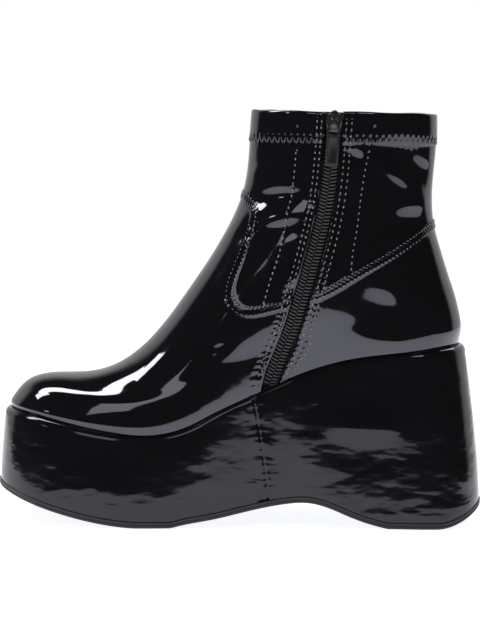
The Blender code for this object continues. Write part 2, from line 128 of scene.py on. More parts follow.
# Outline of the sole: place along it, fullness of the inner and of the outer side
OUTLINE_COLUMNS = ("along", "inner", "outer")
OUTLINE = (
    (0.00, 1.42, 1.42),
    (0.05, 1.38, 1.36),
    (0.10, 1.30, 1.26),
    (0.20, 1.18, 1.10),
    (0.28, 1.10, 1.05),
    (0.36, 0.99, 1.02),
    (0.50, 0.80, 0.90),
    (0.62, 0.74, 0.84),
    (0.75, 0.85, 0.90),
    (0.85, 1.02, 1.03),
    (0.95, 1.33, 1.33),
    (1.00, 1.42, 1.42),
)

# Underside of the sole: the toe and heel curves end where the flat spots start
TOE_FLAT = 0.29
TOE_CURVE = 1.6
HEEL_FLAT = 0.905
HEEL_CURVE = 1.7
ARCH_COLUMNS = ("along", "rise")
ARCH = (
    (0.36, 0.00),
    (0.39, 0.14),
    (0.44, 0.31),
    (0.49, 0.53),
    (0.54, 0.76),
    (0.59, 0.94),
    (0.625, 1.00),
    (0.65, 0.96),
    (0.68, 0.80),
    (0.72, 0.48),
    (0.76, 0.20),
    (0.80, 0.00),
)

# Deck of the wedge, where the upper meets it, seen from the side
DECK_COLUMNS = ("along", "rise")
DECK = (
    (0.00, 0.226),
    (0.09, 0.163),
    (0.15, 0.100),
    (0.229, 0.032),
    (0.292, 0.000),
    (0.353, 0.032),
    (0.398, 0.113),
    (0.444, 0.244),
    (0.495, 0.376),
    (0.545, 0.505),
    (0.60, 0.640),
    (0.66, 0.765),
    (0.72, 0.850),
    (0.80, 0.913),
    (0.87, 0.957),
    (0.94, 0.995),
    (1.00, 1.014),
)

# Rings of the last from the foot line to the collar. front and back: share of the foot line's
# length. up: share of the height from deck to collar. follow: how far the ring keeps the deck's
# curve. drop: how far it falls away from the ridge, as a share of the ball width. width: share of
# the foot line's half width. nose and tail: fullness at its ends. foot: how far it keeps the
# outline of the sole.
DROP_CURVE = 6
END_CURVE = 3
RING_COLUMNS = (
    "front", "front_up", "back", "back_up", "follow", "drop", "width", "nose", "tail", "foot")
RINGS = (
    (0.000, 0.000, 1.000, 0.000, 1.00, 0.00, 1.00, 1.00, 1.00, 1.00),
    (-0.003, 0.018, 1.003, 0.030, 1.00, 0.02, 1.01, 1.00, 1.00, 1.00),
    (0.009, 0.050, 1.005, 0.065, 1.00, 0.12, 1.01, 0.99, 0.99, 1.00),
    (0.038, 0.098, 1.003, 0.106, 1.00, 0.36, 1.01, 0.95, 0.96, 1.00),
    (0.092, 0.131, 0.998, 0.149, 1.00, 0.58, 1.01, 0.92, 0.93, 1.00),
    (0.159, 0.151, 0.992, 0.194, 1.00, 0.54, 1.01, 0.97, 0.90, 0.99),
    (0.224, 0.186, 0.984, 0.244, 0.97, 0.38, 1.00, 1.06, 0.87, 0.95),
    (0.288, 0.255, 0.973, 0.303, 0.90, 0.20, 0.97, 1.12, 0.86, 0.86),
    (0.346, 0.345, 0.962, 0.367, 0.78, 0.09, 0.93, 1.15, 0.86, 0.74),
    (0.398, 0.440, 0.950, 0.438, 0.62, 0.04, 0.88, 1.16, 0.87, 0.60),
    (0.447, 0.534, 0.939, 0.513, 0.45, 0.02, 0.82, 1.16, 0.90, 0.45),
    (0.488, 0.640, 0.932, 0.597, 0.28, 0.00, 0.77, 1.15, 0.94, 0.30),
    (0.510, 0.735, 0.931, 0.690, 0.14, 0.00, 0.74, 1.14, 0.99, 0.16),
    (0.518, 0.825, 0.934, 0.790, 0.05, 0.00, 0.72, 1.12, 1.02, 0.06),
    (0.521, 0.914, 0.937, 0.895, 0.00, 0.00, 0.71, 1.10, 1.06, 0.00),
    (0.524, 1.000, 0.936, 0.996, 0.00, 0.00, 0.72, 1.10, 1.08, 0.00),
)

# Centre line of the zip on the inner side, from the collar down: share along and share up
ZIP_LINE = (
    (0.672, 1.000),
    (0.669, 0.856),
    (0.663, 0.700),
    (0.655, 0.596),
    (0.637, 0.453),
    (0.619, 0.326),
    (0.603, 0.228),
    (0.587, 0.152),
    (0.575, 0.106),
    (0.567, 0.068),
    (0.560, 0.038),
)

# Ankle seam, from the middle of the front round either side to the middle of the back: share
# along and share up
SEAM_FRONT_UP = 0.712
SEAM_BACK_UP = 0.536
SEAM_LINE = (
    (0.503, 0.690),
    (0.514, 0.655),
    (0.512, 0.606),
    (0.503, 0.558),
    (0.488, 0.489),
    (0.473, 0.427),
    (0.469, 0.377),
    (0.481, 0.332),
    (0.506, 0.303),
    (0.533, 0.293),
    (0.594, 0.287),
    (0.656, 0.291),
    (0.718, 0.340),
    (0.796, 0.419),
    (0.872, 0.512),
)

# Half of the slider's plan, from its crown to its foot: shares of its width and of its length
SLIDER_PLAN = (
    (0.30, -0.50),
    (0.50, -0.23),
    (0.39, 0.40),
    (0.28, 0.50),
)

INNER = 1
OUTER = -1
TOP_RING = len(RINGS) - 1


class Spline:
    """Natural cubic through rows of a table, read at any place between them."""

    def __init__(self, stations, values):
        self.x = np.array(stations, float)
        self.y = np.array(values, float)
        step = np.diff(self.x)
        slope = np.diff(self.y) / step
        system = np.eye(len(self.x))
        right = np.zeros(len(self.x))
        for i in range(1, len(self.x) - 1):
            system[i, i - 1 : i + 2] = step[i - 1], 2 * (step[i - 1] + step[i]), step[i]
            right[i] = 6 * (slope[i] - slope[i - 1])
        self.bend = np.linalg.solve(system, right)

    def __call__(self, at):
        at = np.asarray(at, float)
        i = np.clip(np.searchsorted(self.x, at) - 1, 0, len(self.x) - 2)
        step = self.x[i + 1] - self.x[i]
        before = (self.x[i + 1] - at) / step
        after = (at - self.x[i]) / step
        curve = (before**3 - before) * self.bend[i] + (after**3 - after) * self.bend[i + 1]
        return before * self.y[i] + after * self.y[i + 1] + curve * step**2 / 6


def columns_of(names, rows):
    """One spline for each named column, over the first column or over the row number."""
    columns = dict(zip(names, zip(*rows)))
    stations = columns.get("along", range(len(rows)))
    return {name: Spline(stations, values) for name, values in columns.items()}


outline = columns_of(OUTLINE_COLUMNS, OUTLINE)
arch = columns_of(ARCH_COLUMNS, ARCH)
deck_rise = columns_of(DECK_COLUMNS, DECK)
ring = columns_of(RING_COLUMNS, RINGS)

# The foot line, where the outside of the upper meets the deck
FOOT_FRONT = -LENGTH / 2 + OUTSOLE_PROUD + TOE_LEAN + LEDGE + GAP
FOOT_BACK = LENGTH / 2 - OUTSOLE_PROUD - HEEL_LEAN - LEDGE - GAP
FOOT_HALF = BALL_WIDTH / 2 - OUTSOLE_PROUD - SIDE_LEAN - LEDGE - GAP


def share_along(x):
    return x / LENGTH + 0.5


def ground_line(x):
    """Height of the sole's underside: toe spring, flat, arch, flat and heel bevel."""
    u = np.clip(share_along(np.asarray(x, float)), 0, 1)
    toe = TOE_SPRING * (np.clip(TOE_FLAT - u, 0, 1) / TOE_FLAT) ** TOE_CURVE
    heel = HEEL_BEVEL * (np.clip(u - HEEL_FLAT, 0, 1) / (1 - HEEL_FLAT)) ** HEEL_CURVE
    inside = (u > ARCH[0][0]) & (u < ARCH[-1][0])
    waist = np.where(inside, ARCH_RISE * np.clip(arch["rise"](u), 0, None), 0)
    return toe + waist + heel


def deck_line(x):
    return DECK_AT_BALL + DECK_RISE * deck_rise["rise"](np.clip(share_along(x), 0, 1))


def swing(x):
    """The toe swings to the inner side ahead of the waist."""
    ahead = np.clip((SWING_START - share_along(np.asarray(x, float))) / SWING_START, 0, None)
    return -TOE_SWING * ahead**SWING_CURVE


def fullness(along, angle, foot):
    """How full the outline is on the side of the angle, at a share of the foot's length."""
    along = np.clip(along, 0, 1)
    side = np.where(np.sin(angle) >= 0, outline["inner"](along), outline["outer"](along))
    return 1 + (side - 1) * foot


def angles(count):
    """Places round the boot: 0 at the toe, then the inner side, then the heel."""
    return np.arange(count) * 2 * math.pi / count


def along_ring(angle):
    return (1 - np.cos(angle)) / 2


def widest_middle():
    """Middle between the widest places of the two sides, before the sole is centred."""
    turn = angles(FOOT_COLUMNS)
    along = along_ring(turn)
    half = BALL_WIDTH / 2 * fullness(along, turn, 1)
    sides = swing((along - 0.5) * LENGTH) - half * np.sin(turn)
    return (sides.min() + sides.max()) / 2


MIDDLE = widest_middle()


def centre_line(x):
    return swing(x) - MIDDLE


def foot_outline(angle, front, back, half):
    """Plan of the sole or of a line inside it."""
    along = along_ring(angle)
    x = front + (back - front) * along
    y = centre_line(x) - half * fullness(along, angle, 1) * np.sin(angle)
    return x, y


def last_point(angle, level):
    """The outside of the upper at an angle round it and a level from foot line to collar."""
    along = along_ring(angle)
    front = FOOT_FRONT + (FOOT_BACK - FOOT_FRONT) * ring["front"](level)
    back = FOOT_FRONT + (FOOT_BACK - FOOT_FRONT) * ring["back"](level)
    x = front + (back - front) * along
    up = ring["front_up"](level) * (1 - along) + ring["back_up"](level) * along
    follow = ring["follow"](level)
    curved = deck_line(x) + up * (COLLAR_HEIGHT - deck_line(x))
    front_deck = deck_line(front)
    back_deck = deck_line(back)
    front_z = front_deck + ring["front_up"](level) * (COLLAR_HEIGHT - front_deck)
    back_z = back_deck + ring["back_up"](level) * (COLLAR_HEIGHT - back_deck)
    straight = front_z * (1 - along) + back_z * along
    fall = ring["drop"](level) * BALL_WIDTH * along * (1 - along) ** DROP_CURVE
    z = follow * curved + (1 - follow) * straight - fall
    nose = (ring["nose"](level) - 1) * (1 - along) ** END_CURVE
    tail = (ring["tail"](level) - 1) * along**END_CURVE
    ends = 1 + nose + tail
    on_foot = (x - FOOT_FRONT) / (FOOT_BACK - FOOT_FRONT)
    half = FOOT_HALF * ring["width"](level) * ends * fullness(on_foot, angle, ring["foot"](level))
    y = centre_line(x) - half * np.sin(angle)
    return np.stack([x, y, z], -1)


def last_frame(angle, level):
    """Point, change with the angle, change with the level, and outward normal."""
    point = last_point(angle, level)
    ahead = last_point(angle + SMALL_STEP, level)
    above = last_point(angle, level + SMALL_STEP)
    round_it = (ahead - last_point(angle - SMALL_STEP, level)) / (2 * SMALL_STEP)
    up_it = (above - last_point(angle, level - SMALL_STEP)) / (2 * SMALL_STEP)
    normal = np.cross(round_it, up_it)
    normal /= np.linalg.norm(normal, axis=-1, keepdims=True)
    return point, round_it, up_it, normal


def upper_point(angle, level, lift):
    point, _, _, normal = last_frame(angle, level)
    return point + normal * lift


def locate(along, up, side):
    """Angle and level of the place that a side view shows at a share along and a share up."""
    x = (along - 0.5) * LENGTH
    target = deck_line(x) + up * (COLLAR_HEIGHT - deck_line(x))
    low, high = 0.0, float(TOP_RING)
    angle = math.pi / 2
    for _ in range(HALVINGS):
        level = (low + high) / 2
        ends = last_point(np.array([0.0, math.pi]), np.array([level, level]))[:, 0]
        share = np.clip((x - ends[0]) / (ends[1] - ends[0]), 0, 1)
        angle = float(np.arccos(1 - 2 * share))
        if last_point(angle * side, level)[2] < target:
            low = level
        else:
            high = level
    return angle * side, level


def even_path(places, count):
    """Places (angle, level) evenly spaced along a smooth line through the given ones."""
    places = np.array(places)
    points = last_point(places[:, 0], places[:, 1])
    run = np.r_[0, np.cumsum(np.linalg.norm(np.diff(points, axis=0), axis=1))]
    at = np.linspace(0, run[-1], count)
    return Spline(run, places[:, 0])(at), Spline(run, places[:, 1])(at)


# Fineness of the finished surfaces
LINE_STATIONS = 1600
HEM_STATIONS = 120
OUTLINE_STATIONS = 2000
LIP_ROWS = 6
FOLD_ROWS = 5
ZIP_BEND = 5

# How far from a line its relief reaches, and how far the zip runs on into the wedge, as a share
# of its last step
BESIDE_REACH = 0.0125
ZIP_EXTRA = 1.75

# Rows of straight stitches in the leather: size of a needle hole, and the width and share of the
# trough and of the swell between the holes
HOLE_LENGTH = 0.0006
HOLE_WIDTH = 0.0007
TROUGH_WIDTH = 0.0009
TROUGH_SHARE = 0.35
SWELL_WIDTH = 0.0011
SWELL_SHARE = 0.3

# Ankle seam: share of its height that the leather keeps, its pucker and its middle groove
SEAM_SHARE = 0.55
SEAM_PUCKER = 0.5
SEAM_GROOVE = 0.45
SEAM_GROOVE_WIDTH = 0.00035

# Zip slot and hem: the swell at the slot's edges, the zigzag's wave and the hem's share of its rise
SLOT_SWELL = 0.00025
SLOT_SWELL_WIDTH = 0.0014
HEM_WAVE = 0.00016
HEM_PIT = 0.9
HEM_SHARE = 0.5

# Butt seam of the wedge's cover on the inner waist: where it starts, how it drifts as it climbs,
# the fine columns round it, its groove and lips, and the pull of its stitches
BUTT_X = 0.0150
BUTT_MIDDLE_X = 0.0105
BUTT_DRIFT = 0.0088
BUTT_LOW = 0.0145
BUTT_CLIMB = 0.0543
BUTT_CURVE = 1.3
FINE_TURN = 0.065
FINE_SHARE = 0.07
GROOVE_DEPTH = 0.00035
GROOVE_WIDTH = 0.0004
LIP_ASIDE = 0.0013
LIP_RISE = 0.00008
LIP_WIDTH = 0.0009
BUTT_STITCH = 0.0042
BUTT_STITCH_RISE = 0.00006
BUTT_STITCH_WIDTH = 0.0012
BUTT_PULL = 0.00014
BUTT_PULL_LENGTH = 0.0031
BUTT_PULL_WIDTH = 0.006

# Vertical stitch lines of the shaft: places along and up, on both sides of the boot
FRONT_DART = (
    (0.597, 0.86),
    (0.595, 0.79),
    (0.590, 0.70),
    (0.582, 0.62),
    (0.570, 0.50),
    (0.552, 0.40),
    (0.537, 0.31),
)
BACK_DART = (
    (0.745, 0.86),
    (0.740, 0.81),
    (0.732, 0.71),
    (0.727, 0.62),
    (0.722, 0.52),
    (0.715, 0.43),
    (0.713, 0.36),
)

# Creases: how far they bow, how soon they fade where the side turns away, and the share of
# their height that the leather keeps
CREASE_BEND = 6
CREASE_FACING = 1.6
CREASE_SHARE = 0.8

# Each crease as listed: side, where its middle lies in metres, the turn of its length
# from level in degrees, its length and width, and its height, which is negative in a trough
CREASE_COLUMNS = ("side", "x", "z", "turn", "length", "width", "height")
CREASES = (
    (1, 0.0800, 0.1190, -25, 0.034, 0.0225, -0.0026),
    (1, 0.0585, 0.2015, -35, 0.016, 0.0080, -0.0013),
    (1, 0.0100, 0.1792, 12, 0.044, 0.0095, -0.0020),
    (1, 0.0235, 0.1712, 6, 0.024, 0.0085, 0.0012),
    (1, 0.0120, 0.1614, 8, 0.028, 0.0075, -0.0015),
    (1, 0.0080, 0.1960, 30, 0.020, 0.0060, 0.0006),
    (1, 0.0830, 0.1930, -32, 0.030, 0.0080, 0.0009),
    (1, 0.0930, 0.1975, -50, 0.030, 0.0130, -0.0017),
    (1, 0.0860, 0.2080, 4, 0.044, 0.0080, -0.0006),
    (1, 0.0900, 0.1780, 8, 0.022, 0.0090, 0.0010),
    (1, 0.0970, 0.1665, -10, 0.026, 0.0100, -0.0012),
    (1, 0.0740, 0.1560, 22, 0.028, 0.0080, 0.0006),
    (1, 0.0290, 0.1318, 40, 0.020, 0.0070, -0.0012),
    (1, -0.0150, 0.0965, 25, 0.013, 0.0060, -0.0008),
    (-1, 0.0120, 0.1840, 10, 0.034, 0.0070, -0.0011),
    (-1, 0.0100, 0.1750, 16, 0.030, 0.0060, 0.0008),
    (-1, 0.0500, 0.1900, -12, 0.050, 0.0090, -0.0008),
    (-1, 0.0560, 0.1760, -6, 0.050, 0.0090, 0.0008),
    (-1, 0.0860, 0.1930, -26, 0.030, 0.0080, 0.0009),
    (-1, 0.0880, 0.1700, 10, 0.030, 0.0090, -0.0009),
    (-1, 0.0420, 0.1560, 8, 0.040, 0.0080, -0.0006),
)


def size_of(name, description, default):
    """A length that the user can change."""
    return FloatProperty(name=name, description=description, default=default, unit="LENGTH",
                         subtype="DISTANCE")


def shade_of(name, description, default):
    """A colour that the user can change."""
    return FloatVectorProperty(name=name, description=description, default=default,
                               subtype="COLOR", min=0, max=1)


class BOOT_PG_upper(PropertyGroup):
    hem_inside: size_of("Hem inside", "Depth of the fold inside the collar", 0.011)
    rim_waver: size_of("Rim waver", "How far the folded collar edge rises and falls", 0.0005)
    columns: IntProperty(name="Columns", description="Cells round the upper", default=350)
    rows: IntProperty(name="Rows", description="Cells from foot line to collar", default=205)
    crease: FloatProperty(name="Crease", description="Share of the creases' height", default=1.0)
    lining_depth: size_of("Lining depth", "How far the lining lies behind the outside", 0.0022)


class BOOT_PG_stitch(PropertyGroup):
    thread: size_of("Thread", "Thickness of the sewing thread", 0.00078)
    length: size_of("Stitch length", "From needle hole to needle hole", 0.0034)
    zigzag: size_of("Zigzag pitch", "Length of one zigzag of the hem", 0.0036)
    seam_length: size_of("Seam stitch", "From hole to hole along the raised seam", 0.0024)
    zigzag_height: size_of("Zigzag height", "Height of the zigzag of the hem", 0.0042)
    pit: size_of("Pit", "Depth of the leather at a needle hole", 0.00017)


class BOOT_PG_zip(PropertyGroup):
    pitch: size_of("Coil pitch", "From tooth to tooth", 0.0019)
    wire: size_of("Coil wire", "Thickness of the coil's wire", 0.00115)


class BOOT_PG_finish(PropertyGroup):
    patent: shade_of("Patent", "Colour under the gloss", (0.0045, 0.0045, 0.0052))
    tint: shade_of("Gloss tint", "Colour of the gloss", (0.86, 0.87, 1.0))
    rubber: shade_of("Rubber", "Colour of the sole", (0.016, 0.016, 0.018))
    lining: shade_of("Lining", "Colour of lining and sock", (0.022, 0.022, 0.024))
    thread: shade_of("Thread", "Colour of the thread", (0.15, 0.15, 0.165))


class BOOT_PG_studio(PropertyGroup):
    backdrop: shade_of("Backdrop", "Colour of the background", (1.0, 1.0, 1.0))
    key: FloatProperty(name="Key", description="Strength of the softboxes", default=1.0)


class Line:
    """A line on the upper, dense enough to measure from."""

    def __init__(self, places):
        self.angle, self.level = even_path(places, LINE_STATIONS)
        point, _, _, normal = last_frame(self.angle, self.level)
        forward = np.gradient(point, axis=0)
        forward /= np.linalg.norm(forward, axis=-1, keepdims=True)
        self.point = point
        self.across = np.cross(normal, forward)
        steps = np.linalg.norm(np.diff(point, axis=0), axis=1)
        self.run = np.r_[0, np.cumsum(steps)]
        self.length = float(self.run[-1])
        self.tree = KDTree(len(point))
        for i, place in enumerate(point):
            self.tree.insert(place, i)
        self.tree.balance()

    def beside(self, points):
        """Run along the line, signed distance from it and a mask, for each point."""
        run = np.zeros(len(points))
        side = np.full(len(points), 1.0)
        near = np.zeros(len(points))
        low = self.point.min(0) - BESIDE_REACH
        high = self.point.max(0) + BESIDE_REACH
        inside = np.all((points > low) & (points < high), axis=1)
        for i in np.nonzero(inside)[0]:
            _, index, distance = self.tree.find(points[i])
            if distance < BESIDE_REACH:
                run[i] = self.run[index]
                side[i] = np.dot(points[i] - self.point[index], self.across[index])
                near[i] = 1.0
        return run, side, near

    def at(self, run, offset):
        """Angles and levels at distances along the line, moved sideways by the offsets."""
        run, offset = np.broadcast_arrays(np.asarray(run, float), np.asarray(offset, float))
        angle = np.interp(run, self.run, self.angle)
        level = np.interp(run, self.run, self.level)
        across = np.stack([np.interp(run, self.run, self.across[:, k]) for k in range(3)], -1)
        _, round_it, up_it, _ = last_frame(angle, level)
        p = np.sum(round_it * across, -1) * offset
        q = np.sum(up_it * across, -1) * offset
        a = np.sum(round_it * round_it, -1)
        b = np.sum(round_it * up_it, -1)
        c = np.sum(up_it * up_it, -1)
        bottom = a * c - b * b
        return angle + (p * c - q * b) / bottom, level + (q * a - p * b) / bottom


def seam_places():
    inner_side = [locate(along, up, INNER) for along, up in SEAM_LINE]
    outer_side = [locate(along, up, OUTER) for along, up in SEAM_LINE]
    front = float(np.interp(SEAM_FRONT_UP, [r[1] for r in RINGS], range(len(RINGS))))
    back = float(np.interp(SEAM_BACK_UP, [r[3] for r in RINGS], range(len(RINGS))))
    return [(-math.pi, back), *outer_side[::-1], (0.0, front), *inner_side, (math.pi, back)]


def hem_level():
    middle = (ring["front"](TOP_RING) + ring["back"](TOP_RING)) / 2
    middle_x = FOOT_FRONT + (FOOT_BACK - FOOT_FRONT) * middle
    hem_up = 1 - HEM_DEPTH / (COLLAR_HEIGHT - float(deck_line(middle_x)))
    return locate(share_along(middle_x), hem_up, INNER)[1]


def extended(before, last, share):
    """A place past the last one, by a share of the way from the one before."""
    return tuple(b + (b - a) * share for a, b in zip(before, last))


HEM_LEVEL = hem_level()
seam_line = Line(seam_places())
zip_places = [locate(along, up, INNER) for along, up in ZIP_LINE]
zip_line = Line([*zip_places, extended(*zip_places[-2:], ZIP_EXTRA)])
hem_turn = np.linspace(-math.pi, math.pi, HEM_STATIONS)
hem_line = Line(list(zip(hem_turn, np.full(len(hem_turn), HEM_LEVEL))))
darts = [
    Line([locate(along, up, side) for along, up in table])
    for table in (FRONT_DART, BACK_DART)
    for side in (INNER, OUTER)
]

# Rows of straight stitches: how far each lies to the side of its line
SEAM_ROWS = (-0.00165, 0.00165)
ZIP_ROWS = (-0.0092, -0.0067, 0.0067, 0.0096)


def slot_edges(level):
    """Angles of the slot's front and back edges at levels of the upper."""
    edges = []
    for side in (-1, 1):
        angle, at = zip_line.at(zip_line.run, side * SLOT_WIDTH / 2)
        order = np.argsort(at)
        edges.append(np.interp(level, at[order], angle[order]))
    return min(edges, key=lambda e: e.mean()), max(edges, key=lambda e: e.mean())


def bump(distance, width):
    """Soft rise of height 1 that falls away over its width."""
    return np.exp(-((distance / width) ** 2))


def step_up(distance, width):
    """Soft step from 0 to 1 that is width wide."""
    t = np.clip(distance / width + 0.5, 0, 1)
    return t * t * (3 - 2 * t)


def row_relief(run, side, offset, pitch, pit):
    """Needle pits and the shallow trough that a row of stitches pulls into the leather."""
    along = ((run / pitch + 0.5) % 1 - 0.5) * pitch
    across = side - offset
    holes = bump(along, HOLE_LENGTH) * bump(across, HOLE_WIDTH)
    swell = np.cos(2 * math.pi * run / pitch) * bump(across, SWELL_WIDTH)
    return -pit * (holes + TROUGH_SHARE * bump(across, TROUGH_WIDTH) + SWELL_SHARE * swell)


def relief(angle, level):
    """Height of seam, hem, stitch rows and creases over the last at places of the upper."""
    stitch = bpy.context.scene.boot_stitch
    point, _, _, normal = last_frame(angle, level)
    flat = point.reshape(-1, 3)
    height = np.zeros(len(flat))

    run, side, near = seam_line.beside(flat)
    half = SEAM_WIDTH / 2
    band = step_up(half - np.abs(side), 2 * SEAM_BEVEL)
    phase = 2 * math.pi * (run + 0.5 * side) / stitch.seam_length
    pucker = 1 + SEAM_PUCKER * np.cos(phase)
    seam = SEAM_SHARE * SEAM_RISE * band * (pucker - SEAM_GROOVE * bump(side, SEAM_GROOVE_WIDTH))
    height += near * seam

    run, side, near = zip_line.beside(flat)
    for offset in ZIP_ROWS:
        height += near * row_relief(run, side, offset, stitch.length, stitch.pit)
    height += near * SLOT_SWELL * bump(np.abs(side) - SLOT_WIDTH / 2, SLOT_SWELL_WIDTH)

    run, side, near = hem_line.beside(flat)
    half = stitch.zigzag_height / 2
    for edge in (-half, half):
        height += near * row_relief(run, side, edge, stitch.zigzag, HEM_PIT * stitch.pit)
    wave = np.cos(2 * math.pi * run / stitch.zigzag)
    rows = bump(side + half, SWELL_WIDTH) - bump(side - half, SWELL_WIDTH)
    height += near * HEM_WAVE * wave * rows
    flat_level = np.asarray(level, float).ravel()
    height += HEM_SHARE * HEM_RISE * step_up(flat_level - HEM_LEVEL, 0.5)

    for dart in darts:
        run, side, near = dart.beside(flat)
        height += near * row_relief(run, side, 0.0, stitch.length, stitch.pit)

    share = bpy.context.scene.boot_upper.crease
    outward = normal.reshape(-1, 3)[:, 1]
    for row in CREASES:
        crease = dict(zip(CREASE_COLUMNS, row))
        turn = math.radians(crease["turn"])
        dx = flat[:, 0] - crease["x"]
        dz = flat[:, 2] - crease["z"]
        along = dx * math.cos(turn) + dz * math.sin(turn)
        across = dz * math.cos(turn) - dx * math.sin(turn)
        across = across + along**2 * CREASE_BEND
        facing = np.clip(-outward * crease["side"] * CREASE_FACING, 0, 1)
        shape = bump(along, crease["length"] / 2) * bump(across, crease["width"] / 2)
        height += CREASE_SHARE * share * facing * crease["height"] * shape
    return height.reshape(np.shape(angle))


def upper_place(angle, level, lift=0.0):
    """Point of the finished upper's outside, and its outward normal."""
    point, _, _, normal = last_frame(angle, level)
    return point + normal * (relief(angle, level) + lift)[..., None], normal


def deselect():
    if bpy.context.mode != "OBJECT":
        bpy.ops.object.mode_set(mode="OBJECT")
    bpy.ops.object.select_all(action="DESELECT")


def activate(piece):
    """Selects one piece alone."""
    deselect()
    piece.select_set(True)
    bpy.context.view_layer.objects.active = piece


def edit_all(piece):
    """Opens a piece in edit mode with all of it selected."""
    activate(piece)
    bpy.ops.object.mode_set(mode="EDIT")
    bpy.ops.mesh.select_all(action="SELECT")


def grid(name, columns, rows, place):
    """A grid primitive laid on the shape that place gives for shares across and up."""
    deselect()
    bpy.ops.mesh.primitive_grid_add(x_subdivisions=columns, y_subdivisions=rows, size=1)
    piece = bpy.context.object
    piece.name = name
    piece.data.name = name
    count = len(piece.data.vertices)
    flat = np.zeros(count * 3, np.float32)
    piece.data.vertices.foreach_get("co", flat)
    flat = flat.reshape(-1, 3) + 0.5
    across = np.rint(flat[:, 0] * columns).astype(int)
    up = np.rint(flat[:, 1] * rows).astype(int)
    points = place(np.arange(columns + 1), np.arange(rows + 1))
    piece.data.vertices.foreach_set("co", points[up, across].astype(np.float32).ravel())
    piece.data.update()
    return piece


def turn_faces(piece):
    """Turns a sheet's faces the other way round."""
    edit_all(piece)
    bpy.ops.mesh.flip_normals()
    bpy.ops.object.mode_set(mode="OBJECT")


def sew(piece, distance=0.00002, closed=True, merge=True):
    """Joins the grid's meeting edges, drops empty faces and turns a closed piece outwards."""
    edit_all(piece)
    if merge:
        bpy.ops.mesh.remove_doubles(threshold=distance)
    bpy.ops.mesh.dissolve_degenerate(threshold=distance)
    if closed:
        bpy.ops.mesh.normals_make_consistent(inside=False)
    bpy.ops.object.mode_set(mode="OBJECT")
    return piece


def settle(piece, body, material, replaced=(), sharp=50):
    """Shades a piece, gives it its finish and fastens it to its body."""
    activate(piece)
    bpy.ops.object.transform_apply(location=True, rotation=True, scale=True)
    bpy.ops.object.shade_smooth_by_angle(angle=math.radians(sharp))
    piece.data.materials.clear()
    piece.data.materials.append(material)
    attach(piece, body)
    if replaced:
        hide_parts(*replaced)


def apply_modifier(piece, kind, **settings):
    """Adds a modifier of a kind with its settings and applies it."""
    activate(piece)
    modifier = piece.modifiers.new(kind.title(), kind)
    for key, value in settings.items():
        setattr(modifier, key, value)
    bpy.ops.object.modifier_apply(modifier=modifier.name)


class Socket:
    """An output of a node in an expression. Its operators add Math nodes."""

    def __init__(self, finish, socket):
        self.finish = finish
        self.socket = socket

    def math(self, operation, *others):
        inputs = {0: self}
        for i, other in enumerate(others):
            inputs[i + 1] = other
        return self.finish.node("ShaderNodeMath", {"operation": operation}, inputs, 0)

    def reflected(self, operation, other):
        return self.finish.node("ShaderNodeMath", {"operation": operation}, {0: other, 1: self}, 0)

    def __add__(self, other):
        return self.math("ADD", other)

    def __radd__(self, other):
        return self.reflected("ADD", other)

    def __sub__(self, other):
        return self.math("SUBTRACT", other)

    def __rsub__(self, other):
        return self.reflected("SUBTRACT", other)

    def __mul__(self, other):
        return self.math("MULTIPLY", other)

    def __rmul__(self, other):
        return self.reflected("MULTIPLY", other)

    def __truediv__(self, other):
        return self.math("DIVIDE", other)

    def __pow__(self, other):
        return self.math("POWER", other)


class Finish:
    """A material, or the world, whose nodes are added one by one."""

    def __init__(self, name, owner=None):
        self.owner = owner or bpy.data.materials.new(name)
        self.owner.use_nodes = True
        self.tree = self.owner.node_tree
        self.tree.nodes.clear()

    def node(self, kind, settings=None, inputs=None, output=None):
        """Adds a node: its settings first, then values or links; returns one output of it."""
        node = self.tree.nodes.new(kind)
        for key, value in (settings or {}).items():
            setattr(node, key, value)
        for key, value in (inputs or {}).items():
            if isinstance(value, Socket):
                self.tree.links.new(value.socket, node.inputs[key])
            else:
                node.inputs[key].default_value = value
        if output is None:
            return node
        return Socket(self, node.outputs[output])

    def place(self):
        return self.node("ShaderNodeTexCoord", output="Object")

    def parts(self, vector):
        """The three numbers of a vector."""
        node = self.node("ShaderNodeSeparateXYZ", inputs={"Vector": vector})
        return [Socket(self, node.outputs[axis]) for axis in "XYZ"]

    def smooth_ramp(self, value, start, end, top=1.0):
        """Rises softly from 0 where the value is at start to the top where it is at end."""
        inputs = {"Value": value, "From Min": start, "From Max": end, "To Min": 0.0, "To Max": top}
        return self.node("ShaderNodeMapRange", {"interpolation_type": "SMOOTHSTEP"}, inputs, 0)

    def noise(self, scale, detail=2.0, roughness=0.5, stretch=(1, 1, 1)):
        inputs = {"Vector": self.place(), "Scale": stretch}
        where = self.node("ShaderNodeMapping", inputs=inputs, output="Vector")
        inputs = {"Vector": where, "Scale": scale, "Detail": detail, "Roughness": roughness}
        return self.node("ShaderNodeTexNoise", inputs=inputs, output="Fac")

    def bump(self, height, distance, strength=1.0, normal=None):
        inputs = {"Height": height, "Distance": distance, "Strength": strength}
        if normal is not None:
            inputs["Normal"] = normal
        return self.node("ShaderNodeBump", inputs=inputs, output="Normal")

    def mixed(self, share, first, second):
        inputs = {0: share, 6: first, 7: second}
        return self.node("ShaderNodeMix", {"data_type": "RGBA"}, inputs, 2)

    def surface(self, **inputs):
        named = {key.replace("_", " ").title(): value for key, value in inputs.items()}
        if "Ior" in named:
            named["IOR"] = named.pop("Ior")
        shader = self.node("ShaderNodeBsdfPrincipled", inputs=named, output="BSDF")
        self.node("ShaderNodeOutputMaterial", inputs={"Surface": shader})
        return self.owner


def colour(value, share=1.0):
    """A colour for a socket, made darker or paler by a share."""
    return (*(share * part for part in value), 1.0)


